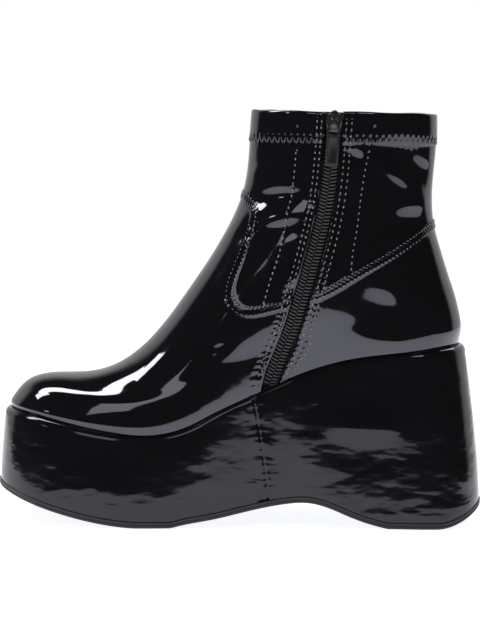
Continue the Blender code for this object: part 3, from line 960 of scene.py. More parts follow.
# Lean of the cover's walls in its finish. Its lower line climbs at the waist, between the ball
# and the heel, and round a pale spot on the heel. The rest is the pucker beside the butt seam.
WAIST_STARTS = -0.050
WAIST_IS_FULL = 0.005
HEEL_STARTS = 0.010
HEEL_IS_FULL = 0.072
WAIST_CLIMB = 0.062
WAIST_RISE = 0.020
LEAN_LOW = 0.008
LEAN_ROUND = 0.03
COVER_LEAN = -0.075
SPOT_X = 0.067
SPOT_Z = 0.056
SPOT_LENGTH = 0.017
SPOT_HEIGHT = 0.007
SPOT_CLIMB = 0.027
PUCKER_WIDTH = 0.0065
PUCKER_HEIGHT = 0.0013

# Lean of the quarters in their finish: the height where it turns, how sharply, and how much
# above it and, at the heel, below it
QUARTER_TURN = 0.107
QUARTER_STARTS = 0.015
QUARTER_IS_FULL = 0.045
QUARTER_ROUND = 0.012
QUARTER_LEAN = -0.055
QUARTER_FLARE = 0.12


def wedge_lean(finish):
    """How the cover's walls lean back above a line that climbs at the waist."""
    along, across, height = finish.parts(finish.place())
    front = finish.smooth_ramp(along, WAIST_STARTS, WAIST_IS_FULL)
    back = finish.smooth_ramp(along, HEEL_IS_FULL, HEEL_STARTS)
    level = ((along - SPOT_X) / SPOT_LENGTH) ** 2.0
    upright = ((height - SPOT_Z) / SPOT_HEIGHT) ** 2.0
    spot = ((level + upright) * -1.0).math("EXPONENT")
    line = front * back * WAIST_CLIMB + spot * SPOT_CLIMB + back * WAIST_RISE - LEAN_LOW
    lean = (height - line).math("SMOOTH_MAX", 0.0, LEAN_ROUND) * COVER_LEAN
    climb = ((height - BUTT_LOW) / BUTT_CLIMB).math("MAXIMUM", 0.0) ** BUTT_CURVE
    aside = along - BUTT_X + climb * BUTT_DRIFT
    inner = across.math("LESS_THAN", 0.0)
    pulled = ((aside / PUCKER_WIDTH) ** 2.0 * -1.0).math("EXPONENT")
    pucker = finish.noise(75.0, 2.5, 0.5, (0.45, 0.5, 1.3))
    return lean + inner * pulled * pucker * PUCKER_HEIGHT


def upper_lean(finish):
    """How the quarters draw in a little above the ankle and flare below it at the heel."""
    along, _, up = finish.parts(finish.place())
    height = up - QUARTER_TURN
    heel = finish.smooth_ramp(along, QUARTER_STARTS, QUARTER_IS_FULL)
    above = height.math("SMOOTH_MAX", 0.0, QUARTER_ROUND)
    below = height.math("SMOOTH_MIN", 0.0, QUARTER_ROUND)
    return above * QUARTER_LEAN + below * heel * QUARTER_FLARE


def patent_finish(name, waver, waver_scale, stretch, lean, gloss, index):
    """Black leather under a clear film that follows the stretch of the hide."""
    looks = bpy.context.scene.boot_finish
    finish = Finish(name)
    drift = finish.noise(waver_scale, 2.5, 0.5, stretch)
    peel = finish.noise(900.0, 2.0, 0.5)
    smudge = finish.noise(35.0, 4.0, 0.6)
    normal = finish.bump(lean(finish), 1.0)
    normal = finish.bump(drift, waver, 1.0, normal)
    normal = finish.bump(peel, 0.0000035, 1.0, normal)
    return finish.surface(
        base_color=finish.mixed(smudge, colour(looks.patent), colour(looks.patent, 1.7)),
        roughness=gloss + smudge * 0.06, specular_tint=colour(looks.tint), ior=index,
        normal=normal)


def rubber_finish():
    looks = bpy.context.scene.boot_finish
    finish = Finish("sole_rubber")
    grain = finish.noise(2600.0, 3.0, 0.6)
    scuff = finish.noise(60.0, 5.0, 0.65, (0.4, 1, 2))
    return finish.surface(
        base_color=finish.mixed(scuff ** 2.0, colour(looks.rubber), colour(looks.rubber, 2.4)),
        roughness=0.42 + scuff * 0.3, normal=finish.bump(grain, 0.00006, 0.8))


def woven_finish(name, base, threads, roughness):
    """A close twill: two crossed waves make the ribs."""
    finish = Finish(name)
    inputs = {"Vector": finish.place(), "Scale": threads, "Distortion": 0.4, "Detail": 1.0}
    ribs = []
    for way in ("DIAGONAL", "Z"):
        bands = {"wave_type": "BANDS", "bands_direction": way}
        ribs.append(finish.node("ShaderNodeTexWave", bands, inputs, "Fac"))
    cloth = ribs[0] * 0.6 + ribs[1] * 0.4
    fluff = finish.noise(700.0, 3.0, 0.6)
    shade = finish.mixed(cloth * 0.7 + fluff * 0.3, colour(base, 0.55), colour(base, 1.6))
    return finish.surface(
        base_color=shade, roughness=roughness, normal=finish.bump(cloth, 0.00012, 0.9))


def thread_finish(name, share):
    """Waxed thread, its colour made darker by the share."""
    looks = bpy.context.scene.boot_finish
    finish = Finish(name)
    twist = finish.noise(2500.0, 2.0, 0.5, (1, 1, 3))
    shade = finish.mixed(twist, colour(looks.thread, share), colour(looks.thread, 2.5 * share))
    return finish.surface(
        base_color=shade, roughness=0.30 + twist * 0.2, coat_weight=0.5, coat_roughness=0.12,
        normal=finish.bump(twist, 0.00008, 0.8))


def coil_finish():
    """Dull nylon, paler where it is rubbed."""
    finish = Finish("coil_nylon")
    wear = finish.noise(500.0, 3.0, 0.6)
    shade = finish.mixed(wear, colour((0.022, 0.022, 0.024)), colour((0.05, 0.05, 0.054)))
    return finish.surface(
        base_color=shade, roughness=0.30 + wear * 0.15, normal=finish.bump(wear, 0.00003, 0.6))


def metal_finish(name, base, metallic, coat):
    """Black paint over metal, thinned by handling."""
    finish = Finish(name)
    wear = finish.noise(260.0, 4.0, 0.6)
    fine = finish.noise(3000.0, 2.0, 0.5)
    return finish.surface(
        base_color=finish.mixed(wear, colour(base), colour(base, 2.0)), metallic=metallic,
        roughness=0.20 + wear * 0.16, coat_weight=coat, coat_roughness=0.08, ior=1.4,
        normal=finish.bump(fine, 0.00001, 0.7))


# Edge of the outsole: its rounding, and the depth of the groove round it and the heights where
# the groove starts, turns and ends
EDGE_ROUND = 0.0003
EDGE_GROOVE = 0.0002
EDGE_HEIGHTS = (0.66, 0.52, 0.42)

# Tread: pitch, depth and waviness of its grooves, where they start and end along the ball and
# the heel, how wide and steep they are, the plain border, and how softly all of these start
TREAD_PITCH = 0.0062
TREAD_DEPTH = 0.0008
TREAD_WAVE = 0.0016
TREAD_WAVE_LENGTH = 0.0045
TREAD_AT = ((0.10, 0.40), (0.76, 0.955))
TREAD_SOFT = 0.02
TREAD_LAND = 0.55
TREAD_BEVEL = 0.3
TREAD_BORDER = 0.86
TREAD_BORDER_SOFT = 0.05


class BOOT_OT_outsole(Operator):
    """Thin rubber sole with a treaded underside"""

    bl_idname = "boot.outsole"
    bl_label = "Outsole"

    def execute(self, context):
        around = 480
        top = OUTSOLE_THICK
        rows = [(OUTSOLE_CHAMFER, top, f) for f in (0, 0.3, 0.6, 0.85, 0.95, 1)]
        rows += [(EDGE_ROUND, top, 1), (0, top - EDGE_ROUND, 1)]
        insets = (EDGE_GROOVE, EDGE_GROOVE, 0)
        rows += [(depth, top * share, 1) for depth, share in zip(insets, EDGE_HEIGHTS)]
        rows += [(0, OUTSOLE_CHAMFER, 1), (EDGE_GROOVE, EDGE_ROUND, 1), (OUTSOLE_CHAMFER, 0, 1)]
        rows += [(OUTSOLE_CHAMFER, 0, f) for f in np.linspace(1, 0, 46)[1:]]
        inset, rise, width = (np.array(c, float)[:, None] for c in zip(*rows))

        def place(i, j):
            angle = i[None, :] * 2 * math.pi / around
            end = LENGTH / 2 - inset
            x, y = foot_outline(angle, -end, end, BALL_WIDTH / 2 - inset)
            middle = centre_line(x)
            y = middle + (y - middle) * width
            z = ground_line(x) + rise
            under = (rise == 0) & (width < 1)
            z = z + np.where(under, tread(x, y, width), 0)
            return np.stack(np.broadcast_arrays(x, y, z), -1)

        piece = sew(grid("outsole_rubber", around, len(rows) - 1, place))
        settle(piece, "boot", rubber_finish(), ("outsole",), 35)
        return {"FINISHED"}


def tread(x, y, width):
    """Grooves across the sole, clear of a plain border and of the waist."""
    bow = TREAD_WAVE * np.sin(y / TREAD_WAVE_LENGTH)
    wave = np.sin((x + bow) * 2 * math.pi / TREAD_PITCH)
    groove = step_up(wave - TREAD_LAND, TREAD_BEVEL)
    along = share_along(x)
    where = [
        step_up(along - start, TREAD_SOFT) * step_up(end - along, TREAD_SOFT)
        for start, end in TREAD_AT
    ]
    border = step_up(TREAD_BORDER - width, TREAD_BORDER_SOFT)
    return TREAD_DEPTH * groove * np.maximum(*where) * border


class BOOT_OT_wedge(Operator):
    """Leather-covered platform wedge with its butt seam on the inner waist"""

    bl_idname = "boot.wedge"
    bl_label = "Wedge cover"

    def execute(self, context):
        around = 560
        turn = np.linspace(0, 2 * math.pi, OUTLINE_STATIONS)
        x, y = foot_outline(turn, -LENGTH / 2, LENGTH / 2, BALL_WIDTH / 2)
        seam_turn = turn[np.argmin(np.abs(x - BUTT_MIDDLE_X) + (y > 0))]
        seam_turn = min(seam_turn, 2 * math.pi - seam_turn)
        before = (0.5 - FINE_SHARE) * seam_turn / math.pi
        turns = (0, seam_turn - FINE_TURN, seam_turn + FINE_TURN, math.pi)
        shares = (0, before, before + FINE_SHARE, 0.5)
        rows = [("floor", f) for f in (0, 0.5, 0.9, 1)]
        rows += [("wall", h) for h in np.linspace(0, 1, 45)[1:]]
        rows += [("edge", a) for a in np.linspace(0, math.pi / 2, 11)[1:]]
        rows += [("seat", f) for f in (1, 0.95, 0.5, 0)]

        def place(i, j):
            half = np.interp(np.minimum(i, around - i) / around, shares, turns)
            angle = np.where(i > around / 2, 2 * math.pi - half, half)
            rings = [self.ring(kind, value, angle) for kind, value in rows]
            return np.stack(rings)

        piece = sew(grid("wedge_cover", around, len(rows) - 1, place))
        finish = patent_finish(
            "patent_cover", waver=0.00075, waver_scale=45.0, stretch=(0.6, 1.0, 1.5),
            lean=wedge_lean, gloss=0.07, index=1.5)
        settle(piece, "boot", finish, ("wedge",), 60)
        return {"FINISHED"}

    def ring(self, kind, value, angle):
        inset = 0.0
        lean = 1.0
        if kind == "floor":
            lean = 0.0
        elif kind == "wall":
            lean = value**LEAN_CURVE
        elif kind == "edge":
            inset = LEDGE * (1 - math.cos(value))
        else:
            inset = LEDGE
        front = -LENGTH / 2 + OUTSOLE_PROUD + TOE_LEAN * lean + inset
        back = LENGTH / 2 - OUTSOLE_PROUD - HEEL_LEAN * lean - inset
        half = BALL_WIDTH / 2 - OUTSOLE_PROUD - SIDE_LEAN * lean - inset
        x, y = foot_outline(angle, front, back, half)
        low = ground_line(x) + OUTSOLE_THICK + GAP
        high = deck_line(x) - EDGE_DROP
        if kind == "floor":
            middle = centre_line(x)
            return np.stack([x, middle + (y - middle) * value, low], -1)
        if kind == "wall":
            point = np.stack([x, y, low + (high - low) * value], -1)
        elif kind == "edge":
            point = np.stack([x, y, high + EDGE_DROP * math.sin(value)], -1)
        else:
            middle = centre_line(x)
            return np.stack([x, middle + (y - middle) * value, deck_line(x) - SEAT_DEPTH], -1)
        out = np.gradient(point[:, :2], axis=0)[:, ::-1] * (1, -1)
        out /= np.linalg.norm(out, axis=-1, keepdims=True) + 1e-12
        out *= np.sign(np.sum(out * point[:, :2], -1, keepdims=True))
        height = self.relief(point, value if kind == "wall" else 1.0)
        point[:, :2] += out * height[:, None]
        return point

    def relief(self, point, share):
        """Butt seam on the inner waist, and the pull of its stitches."""
        x = point[:, 0]
        z = point[:, 2]
        inner = (point[:, 1] < 0) * 1.0
        climb = np.clip((z - BUTT_LOW) / BUTT_CLIMB, 0, 1) ** BUTT_CURVE
        side = x - BUTT_X + BUTT_DRIFT * climb
        beside = np.abs(side) - LIP_ASIDE
        groove = LIP_RISE * bump(beside, LIP_WIDTH) - GROOVE_DEPTH * bump(side, GROOVE_WIDTH)
        wave = np.cos(2 * math.pi * z / BUTT_STITCH)
        stitch = BUTT_STITCH_RISE * wave * bump(beside, BUTT_STITCH_WIDTH)
        pull = BUTT_PULL * np.sin(z / BUTT_PULL_LENGTH) * bump(side, BUTT_PULL_WIDTH)
        return inner * (groove + stitch + pull) * step_up(share, 0.02)


# Columns of the upper: fine ones beside the slot, then where the others bunch up
SLOT_CELLS = 34
SLOT_SHARE = 0.05
BUNCH_FROM = (0, 0.36, 0.64, 1)
BUNCH_TO = (SLOT_SHARE, 0.29, 0.66, 1 - SLOT_SHARE)

# Collar: how much thicker its rolled edge is than the slot's, and the waves it rises and falls in
HEM_LIP = 1.3
RIM_WAVES = (3, 5)
RIM_SHIFT = 0.6


class BOOT_OT_upper(Operator):
    """Vamp, quarters and shaft with seam, hem, zip opening and creases"""

    bl_idname = "boot.upper"
    bl_label = "Upper"

    def execute(self, context):
        sizes = context.scene.boot_upper
        lip = WALL / 2
        field = np.linspace(0, TOP_RING, sizes.rows + 1)
        lip_turn = np.linspace(0, math.pi, LIP_ROWS + 1)[1:]
        hem_fold = np.linspace(0, sizes.hem_inside, FOLD_ROWS + 1)[1:]
        level = np.r_[0.0, field, np.full(LIP_ROWS + FOLD_ROWS, float(TOP_RING))]
        turn_up = np.r_[np.zeros(len(field) + 1), lip_turn, np.full(FOLD_ROWS, math.pi)]
        fold = np.r_[np.zeros(len(field) + 1 + LIP_ROWS), hem_fold]
        near_slot = np.linspace(0, SLOT_SHARE, SLOT_CELLS)
        middle = np.interp(np.linspace(0, 1, sizes.columns), BUNCH_FROM, BUNCH_TO)
        share = np.r_[near_slot, middle[1:-1], 1 - near_slot[::-1]]
        share = np.r_[np.zeros(ZIP_BEND), share, np.ones(ZIP_BEND)]
        bend = np.linspace(0, math.pi, ZIP_BEND + 1)[1:]
        turn_out = np.r_[bend[::-1], np.zeros(len(share) - 2 * ZIP_BEND), bend]

        def place(i, j):
            front, back = slot_edges(level)
            angle = back[:, None] + share[None, :] * (2 * math.pi + front - back)[:, None]
            at = np.broadcast_to(level[:, None], angle.shape)
            point, round_it, up_it, normal = last_frame(angle, at)
            height = relief(angle, at)
            height[turn_up > 0] = height[np.nonzero(turn_up > 0)[0][0] - 1]
            slow, fast = (count * angle for count in RIM_WAVES)
            waver = sizes.rim_waver * np.sin(slow + RIM_SHIFT) * np.cos(fast)
            rim = step_up(at - HEM_LEVEL - 0.5, 1.0) * waver
            edge = np.gradient(point, axis=0)
            edge /= np.linalg.norm(edge, axis=-1, keepdims=True) + 1e-12
            out = round_it - np.sum(round_it * edge, -1, keepdims=True) * edge
            out /= np.linalg.norm(out, axis=-1, keepdims=True)
            out *= np.where(share < 0.5, -1, 1)[None, :, None]
            up = up_it / np.linalg.norm(up_it, axis=-1, keepdims=True)
            hem_lip = HEM_LIP * lip
            rise = hem_lip * np.sin(turn_up)[:, None] - fold[:, None]
            wide = lip * np.sin(turn_out)[None, :]
            hem_deep = hem_lip * (1 - np.cos(turn_up))[:, None]
            deep = np.maximum(hem_deep, lip * (1 - np.cos(turn_out))[None, :])
            point = point + normal * (height - deep)[..., None]
            point = point + up * rise[..., None] + out * wide[..., None]
            point[..., 2] += rim
            point[0, :, 2] = deck_line(point[0, :, 0]) - SEAT_DEPTH + SEAT_GAP
            return point

        piece = grid("patent_upper", len(share) - 1, len(level) - 1, place)
        sew(piece, 0.000004, closed=False, merge=False)
        finish = patent_finish(
            "patent_hide", waver=0.00022, waver_scale=40.0, stretch=(1.0, 1.0, 1.0),
            lean=upper_lean, gloss=0.02, index=1.76)
        settle(piece, "boot", finish, ("upper",), 75)
        return {"FINISHED"}


# Lining: how far below the collar it ends, in rings, and how wide and deep its guard is
LINING_BELOW = 0.45
GUARD_REACH = 0.0150
GUARD_SOFT = 0.004
GUARD_DEPTH = 0.0022


class BOOT_OT_lining(Operator):
    """Cloth lining behind the upper, drawn over the zip's tape as its guard"""

    bl_idname = "boot.lining"
    bl_label = "Lining"

    def execute(self, context):
        sizes = context.scene.boot_upper
        around = 220
        top = TOP_RING - LINING_BELOW
        rows = 90

        def place(i, j):
            turn = i[None, :] * 2 * math.pi / around
            angle, level = np.broadcast_arrays(turn, (j / rows * top)[:, None])
            point, _, _, normal = last_frame(angle, level)
            _, side, near = zip_line.beside(point.reshape(-1, 3))
            guard = (near * step_up(GUARD_REACH - np.abs(side), GUARD_SOFT)).reshape(angle.shape)
            depth = sizes.lining_depth + GUARD_DEPTH * guard
            return point - normal * depth[..., None]

        piece = sew(grid("lining_cloth", around, rows, place), closed=False)
        turn_faces(piece)
        finish = woven_finish("lining", context.scene.boot_finish.lining, 900.0, 0.75)
        settle(piece, "boot", finish, (), 75)
        return {"FINISHED"}


# Sock: how far its edge bulges, as a share of its width, and how far its middle is worn down
SOCK_BULGE = 0.0004
SOCK_DISH = 0.0005


class BOOT_OT_insole(Operator):
    """Cloth sock on the insole board"""

    bl_idname = "boot.insole"
    bl_label = "Insole"

    def execute(self, context):
        around = 240
        rows = [(0, f) for f in (0, 0.5, 0.9)]
        rows += [(t, 1) for t in np.linspace(0, 1, 7)]
        rows += [(1, f) for f in 1 - np.linspace(0, 1, 16)[1:]]

        def place(i, j):
            angle = i * 2 * math.pi / around
            edge = upper_point(angle, 0.0, -WALL - INSOLE_CLEARANCE)
            rings = []
            for turn, width in rows:
                x = edge[:, 0]
                if width == 0:
                    x = (x + x[::-1]) / 2
                middle = centre_line(x)
                bulge = SOCK_BULGE * math.sin(turn * math.pi)
                y = middle + (edge[:, 1] - middle) * width * (1 + bulge)
                low = deck_line(x) - SEAT_DEPTH + SEAT_GAP
                dish = SOCK_DISH * (1 - width**2)
                rings.append(np.stack([x, y, low + INSOLE_THICK * turn - dish * turn], -1))
            return np.stack(rings)

        piece = sew(grid("sock", around, len(rows) - 1, place))
        turn_faces(piece)
        finish = woven_finish("sock_cloth", context.scene.boot_finish.lining, 700.0, 0.8)
        settle(piece, "boot", finish, ("insole",), 60)
        return {"FINISHED"}


def strip_on(line, name, start, end, half, low, high, cells, stations):
    """A closed flat strip along a line of the upper."""
    across = np.linspace(-half, half, cells + 1)
    offsets = np.r_[across, across[::-1], across[:1]]
    heights = np.r_[np.full(cells + 1, low), np.full(cells + 1, high), low]
    run = np.linspace(start, end, stations + 1)

    def place(i, j):
        angle, level = line.at(run[:, None], offsets[None, :])
        point, _, _, normal = last_frame(angle, level)
        return point + normal * heights[None, :, None]

    piece = sew(grid(name, len(offsets) - 1, stations, place))
    activate(piece)
    bpy.ops.object.mode_set(mode="EDIT")
    bpy.ops.mesh.select_mode(type="EDGE")
    bpy.ops.mesh.select_all(action="DESELECT")
    bpy.ops.mesh.select_non_manifold()
    bpy.ops.mesh.fill()
    bpy.ops.mesh.select_all(action="SELECT")
    bpy.ops.mesh.normals_make_consistent(inside=False)
    bpy.ops.mesh.select_mode(type="VERT")
    bpy.ops.object.mode_set(mode="OBJECT")
    return piece


# How far the tape stops short of the zip's foot, as a share of its gap at the collar
TAPE_END = 0.2


class BOOT_OT_tape(Operator):
    """Woven tape that carries the coil"""

    bl_idname = "boot.tape"
    bl_label = "Zip tape"

    def execute(self, context):
        behind = -WALL - TAPE_SEAT
        start = zip_line.length * TAPE_SHORT
        end = zip_line.length * (1 - TAPE_END * TAPE_SHORT)
        piece = strip_on(zip_line, "tape", start, end, TAPE_WIDTH / 2, behind - TAPE_THICK, behind,
                         cells=24, stations=200)
        finish = woven_finish("tape_weave", (0.006, 0.006, 0.007), 1500.0, 0.8)
        settle(piece, "boot", finish, ("zip_tape",), 40)
        return {"FINISHED"}


def copies(name, proto, frames):
    """One mesh of a piece repeated: frames hold an origin and three scaled axes each."""
    count = len(proto.data.vertices)
    base = np.zeros(count * 3, np.float32)
    proto.data.vertices.foreach_get("co", base)
    base = base.reshape(-1, 3)
    faces = [tuple(p.vertices) for p in proto.data.polygons]
    origin, axes = frames
    points = origin[:, None, :] + np.einsum("vk,nkc->nvc", base, axes)
    mesh = bpy.data.meshes.new(name)
    turned = np.linalg.det(axes) < 0
    every = []
    for n in range(len(origin)):
        for face in faces:
            ring = tuple(v + n * count for v in face)
            every.append(ring[::-1] if turned[n] else ring)
    mesh.from_pydata(points.reshape(-1, 3).tolist(), [], every)
    mesh.update()
    piece = bpy.data.objects.new(name, mesh)
    bpy.context.scene.collection.objects.link(piece)
    bpy.data.objects.remove(proto)
    return piece


# Stitches: how full and how dipped their ends are, how far they stand up, as a share of their
# thickness, the share of a stitch left free at a hole, their clearance from the slot, and where
# the rows beside the zip start and how far before its end they stop
STITCH_FULL = 0.35
STITCH_DIP = 3.2
STITCH_STANDS = 0.30
STITCH_GAP = 0.22
ZIGZAG_GAP = 0.05
ZIGZAG_THIN = 0.9
SEAM_THIN = 0.7
SLOT_CLEAR = 0.0006
ZIP_FROM = 0.003
ZIP_SHORT = 0.004


def stitch_model():
    """One stitch, 1 long along X, 1 thick, its ends dipped into the leather."""
    deselect()
    bpy.ops.mesh.primitive_uv_sphere_add(segments=7, ring_count=8, radius=0.5,
                                         rotation=(0, math.pi / 2, 0))
    model = bpy.context.object
    bpy.ops.object.transform_apply(location=True, rotation=True, scale=True)
    for vertex in model.data.vertices:
        x = vertex.co.x
        full = 0.5 * (1 - abs(2 * x)) ** STITCH_FULL
        spread = math.hypot(vertex.co.y, vertex.co.z)
        if spread > 1e-6:
            vertex.co.y *= full / spread
            vertex.co.z *= full / spread
        vertex.co.z -= STITCH_DIP * x * x
    return model


def stitches_between(starts, ends, normals, thick):
    """Frames for stitches from needle hole to needle hole."""
    middle = (starts + ends) / 2
    along = ends - starts
    side = np.cross(normals, along)
    side /= np.linalg.norm(side, axis=-1, keepdims=True)
    up = np.cross(along, side)
    up /= np.linalg.norm(up, axis=-1, keepdims=True)
    axes = np.stack([along, side * thick, up * thick], 1)
    return middle + up * thick * STITCH_STANDS, axes


def sewn(holes_at, gap_share, thick):
    """Stitches from hole to hole, none of them across the zip opening."""
    point, normal = upper_place(*holes_at)
    _, side, near = zip_line.beside(point)
    clear = (near == 0) | (np.abs(side) > SLOT_WIDTH / 2 + SLOT_CLEAR)
    keep = clear[:-1] & clear[1:]
    gap = gap_share * (point[1:] - point[:-1])
    starts = (point[:-1] + gap)[keep]
    ends = (point[1:] - gap)[keep]
    return stitches_between(starts, ends, ((normal[:-1] + normal[1:]) / 2)[keep], thick)


def straight_row(line, offset, start, end, length, thick):
    """Straight stitches beside a line, with whole stitches from start to end."""
    count = max(2, int(round((end - start) / length)))
    holes = start + np.arange(count + 1) * (end - start) / count
    return sewn(line.at(holes, offset), STITCH_GAP, thick)


def joined(rows):
    """The frames of several rows as one."""
    return np.concatenate([r[0] for r in rows]), np.concatenate([r[1] for r in rows])


class BOOT_OT_stitching(Operator):
    """Thread of the seam, the hem's zigzag, the zip's topstitching and the shaft's lines"""

    bl_idname = "boot.stitching"
    bl_label = "Stitching"

    def execute(self, context):
        stitch = context.scene.boot_stitch
        thread = thread_finish("thread", 1.0)
        dark_thread = thread_finish("hem_thread_black", 0.3)
        seam_thick = SEAM_THIN * stitch.thread
        zip_to = zip_line.length - ZIP_SHORT
        groups = {
            "seam_thread": [
                straight_row(seam_line, o, 0, seam_line.length, stitch.seam_length, seam_thick)
                for o in SEAM_ROWS
            ],
            "zip_thread": [
                straight_row(zip_line, o, ZIP_FROM, zip_to, stitch.length, stitch.thread)
                for o in ZIP_ROWS
            ],
            "shaft_thread": [
                straight_row(dart, 0.0, 0, dart.length, stitch.length, stitch.thread)
                for dart in darts
            ],
            "hem_thread": [self.zigzag(stitch)],
        }
        for name, rows in groups.items():
            piece = copies(name, stitch_model(), joined(rows))
            finish = dark_thread if name == "hem_thread" else thread
            settle(piece, "boot", finish, (), 60)
        return {"FINISHED"}

    def zigzag(self, stitch):
        half_count = int(round(hem_line.length / stitch.zigzag * 2))
        half_count += half_count % 2
        run = np.linspace(0, hem_line.length, half_count + 1)
        side = np.where(np.arange(half_count + 1) % 2 == 0, -1, 1) * stitch.zigzag_height / 2
        return sewn(hem_line.at(run, side), ZIGZAG_GAP, ZIGZAG_THIN * stitch.thread)


# Coil: half its width as a share of the solid's, where it ends along the zip, the cuts along a
# tooth, and how a tooth is hooked, flattened, set across and slanted
COIL_HALF = 0.6
COIL_END = 0.996
TOOTH_CUTS = (-0.42, -0.34, -0.22, 0, 0.22, 0.34, 0.42)
HOOK_FROM = 0.30
HOOK_SPAN = 0.20
HOOK_DROP = 0.6
TOOTH_LIFT = 0.22
TOOTH_FLAT = 0.8
TOOTH_MIDDLE = 0.48
TOOTH_SPAN = 1.04
TOOTH_SLANT = 0.0009
TOOTH_BOW = 0.0003


class BOOT_OT_coil(Operator):
    """Two rows of interlocked coil teeth"""

    bl_idname = "boot.coil"
    bl_label = "Zip coil"

    def execute(self, context):
        sizes = context.scene.boot_zip
        half = COIL_HALF * CHAIN_WIDTH
        low = -WALL - TAPE_SEAT + GAP
        start = zip_line.length * CHAIN_SHORT
        count = int(zip_line.length * (COIL_END - CHAIN_SHORT) / sizes.pitch)
        run = start + np.arange(2 * count) * sizes.pitch / 2
        hand = np.where(np.arange(2 * count) % 2 == 0, -1.0, 1.0)
        angle, level = zip_line.at(run, 0.0)
        point, _, _, normal = last_frame(angle, level)
        columns = [np.interp(run, zip_line.run, zip_line.across[:, k]) for k in range(3)]
        across = np.stack(columns, -1)
        forward = np.cross(across, normal)
        origin = point + normal * (low + CHAIN_THICK * 0.5)
        axes = np.stack([across * hand[:, None], forward, normal], 1)
        piece = copies("coil_teeth", self.tooth(half, sizes.wire), (origin, axes))
        settle(piece, "boot", coil_finish(), ("zip_chain",), 60)
        return {"FINISHED"}

    def tooth(self, half, wire):
        """One turn of the coil: a wire hooped over the tape from its edge past the middle."""
        deselect()
        bpy.ops.mesh.primitive_cylinder_add(vertices=7, radius=wire / 2, depth=1,
                                            end_fill_type="TRIFAN", rotation=(0, math.pi / 2, 0))
        model = bpy.context.object
        bpy.ops.object.transform_apply(location=True, rotation=True, scale=True)
        bpy.ops.object.mode_set(mode="EDIT")
        for cut in TOOTH_CUTS:
            bpy.ops.mesh.select_all(action="SELECT")
            bpy.ops.mesh.bisect(plane_co=(cut, 0, 0), plane_no=(1, 0, 0))
        bpy.ops.object.mode_set(mode="OBJECT")
        for vertex in model.data.vertices:
            t = vertex.co.x
            hook = max(0.0, abs(t) - HOOK_FROM) / HOOK_SPAN
            lift = TOOTH_LIFT - HOOK_DROP * hook**2
            vertex.co.z = TOOTH_FLAT * vertex.co.z + CHAIN_THICK * lift
            vertex.co.x = half * (TOOTH_MIDDLE + TOOTH_SPAN * t)
            vertex.co.y += TOOTH_SLANT * (0.5 - t) + TOOTH_BOW * math.cos(t * math.pi)
        return model


def hinge_frame():
    """Frame of the slider: X across the zip, Y down along it, Z out of the boot."""
    places = [locate(along, up, INNER) for along, up in ZIP_LINE]
    angle, level = even_path(places, PATH_STATIONS)
    keep = np.linspace(0, 1, ZIP_STATIONS)
    at = np.linspace(0, 1, PATH_STATIONS)
    point, _, _, normal = last_frame(np.interp(keep, at, angle), np.interp(keep, at, level))
    height = COLLAR_HEIGHT - PIVOT_BELOW_COLLAR
    place = float(np.interp(-height, -point[:, 2], range(len(point))))
    i = int(place)
    centre = Vector(point[i] + (point[i + 1] - point[i]) * (place - i))
    out = Vector(normal[i])
    down = Vector(point[i + 1] - point[i])
    down = (down - out * down.dot(out)).normalized()
    across = down.cross(out)
    turn = Matrix((across, down, out)).transposed().to_4x4()
    return Matrix.Translation(centre) @ turn


def slider_heights():
    """Foot, top and pivot of the slider over the last."""
    low = -WALL - TAPE_SEAT + GAP + CHAIN_THICK + GAP
    high = low + SLIDER_THICK
    pivot = high + PIVOT_CLEARANCE + math.hypot(PULL_BAR, PULL_THICK) / 2
    return low, high, pivot


def plate(name, outline_points, thick, bevel, segments):
    """A plate extruded from an outline in its own plane, with rounded edges."""
    deselect()
    bpy.ops.mesh.primitive_circle_add(vertices=len(outline_points), radius=1, fill_type="NGON")
    piece = bpy.context.object
    piece.name = name
    piece.data.name = name
    for vertex, (x, y) in zip(piece.data.vertices, outline_points):
        vertex.co = (x, y, -thick / 2)
    bpy.ops.object.mode_set(mode="EDIT")
    bpy.ops.mesh.select_all(action="SELECT")
    bpy.ops.mesh.extrude_region_move(TRANSFORM_OT_translate={"value": (0, 0, thick)})
    bpy.ops.mesh.select_all(action="SELECT")
    bpy.ops.mesh.normals_make_consistent(inside=False)
    bpy.ops.object.mode_set(mode="OBJECT")
    apply_modifier(piece, "BEVEL", width=bevel, segments=segments, limit_method="ANGLE",
                   angle_limit=math.radians(50))
    return piece


def rounded_outline(half_x, half_y, radius, centre_y, steps=6):
    """Corner points of a rectangle with round corners, moved along Y."""
    points = []
    for quarter, (sx, sy) in enumerate(((1, 1), (-1, 1), (-1, -1), (1, -1))):
        for i in range(steps + 1):
            turn = (quarter + i / steps) * math.pi / 2
            x = sx * (half_x - radius) + radius * math.cos(turn)
            y = centre_y + sy * (half_y - radius) + radius * math.sin(turn)
            points.append((x, y))
    return points


def cut_away(piece, tool, operation="DIFFERENCE"):
    """Cuts a tool out of a piece, or joins it on, and removes the tool."""
    apply_modifier(piece, "BOOLEAN", operation=operation, solver="EXACT", object=tool)
    bpy.data.objects.remove(tool)


def set_in(piece, matrix):
    """Puts the piece's place into its mesh."""
    piece.data.transform(matrix)
    piece.data.update()


# Slider: its body's share of the thickness, and the crown's half width, corner, shift and depth
BODY_SHARE = 0.72
CROWN_HALF = 0.0023
CROWN_RADIUS = 0.0022
CROWN_UP = -0.0016
CROWN_SUNK = 0.42

# Panel pressed into the pull: its margins at the sides and the ends, its corner and its depth
PANEL_SIDE = 0.0011
PANEL_END = 0.0022
PANEL_CORNER = 0.0009
PANEL_OUT = 0.80


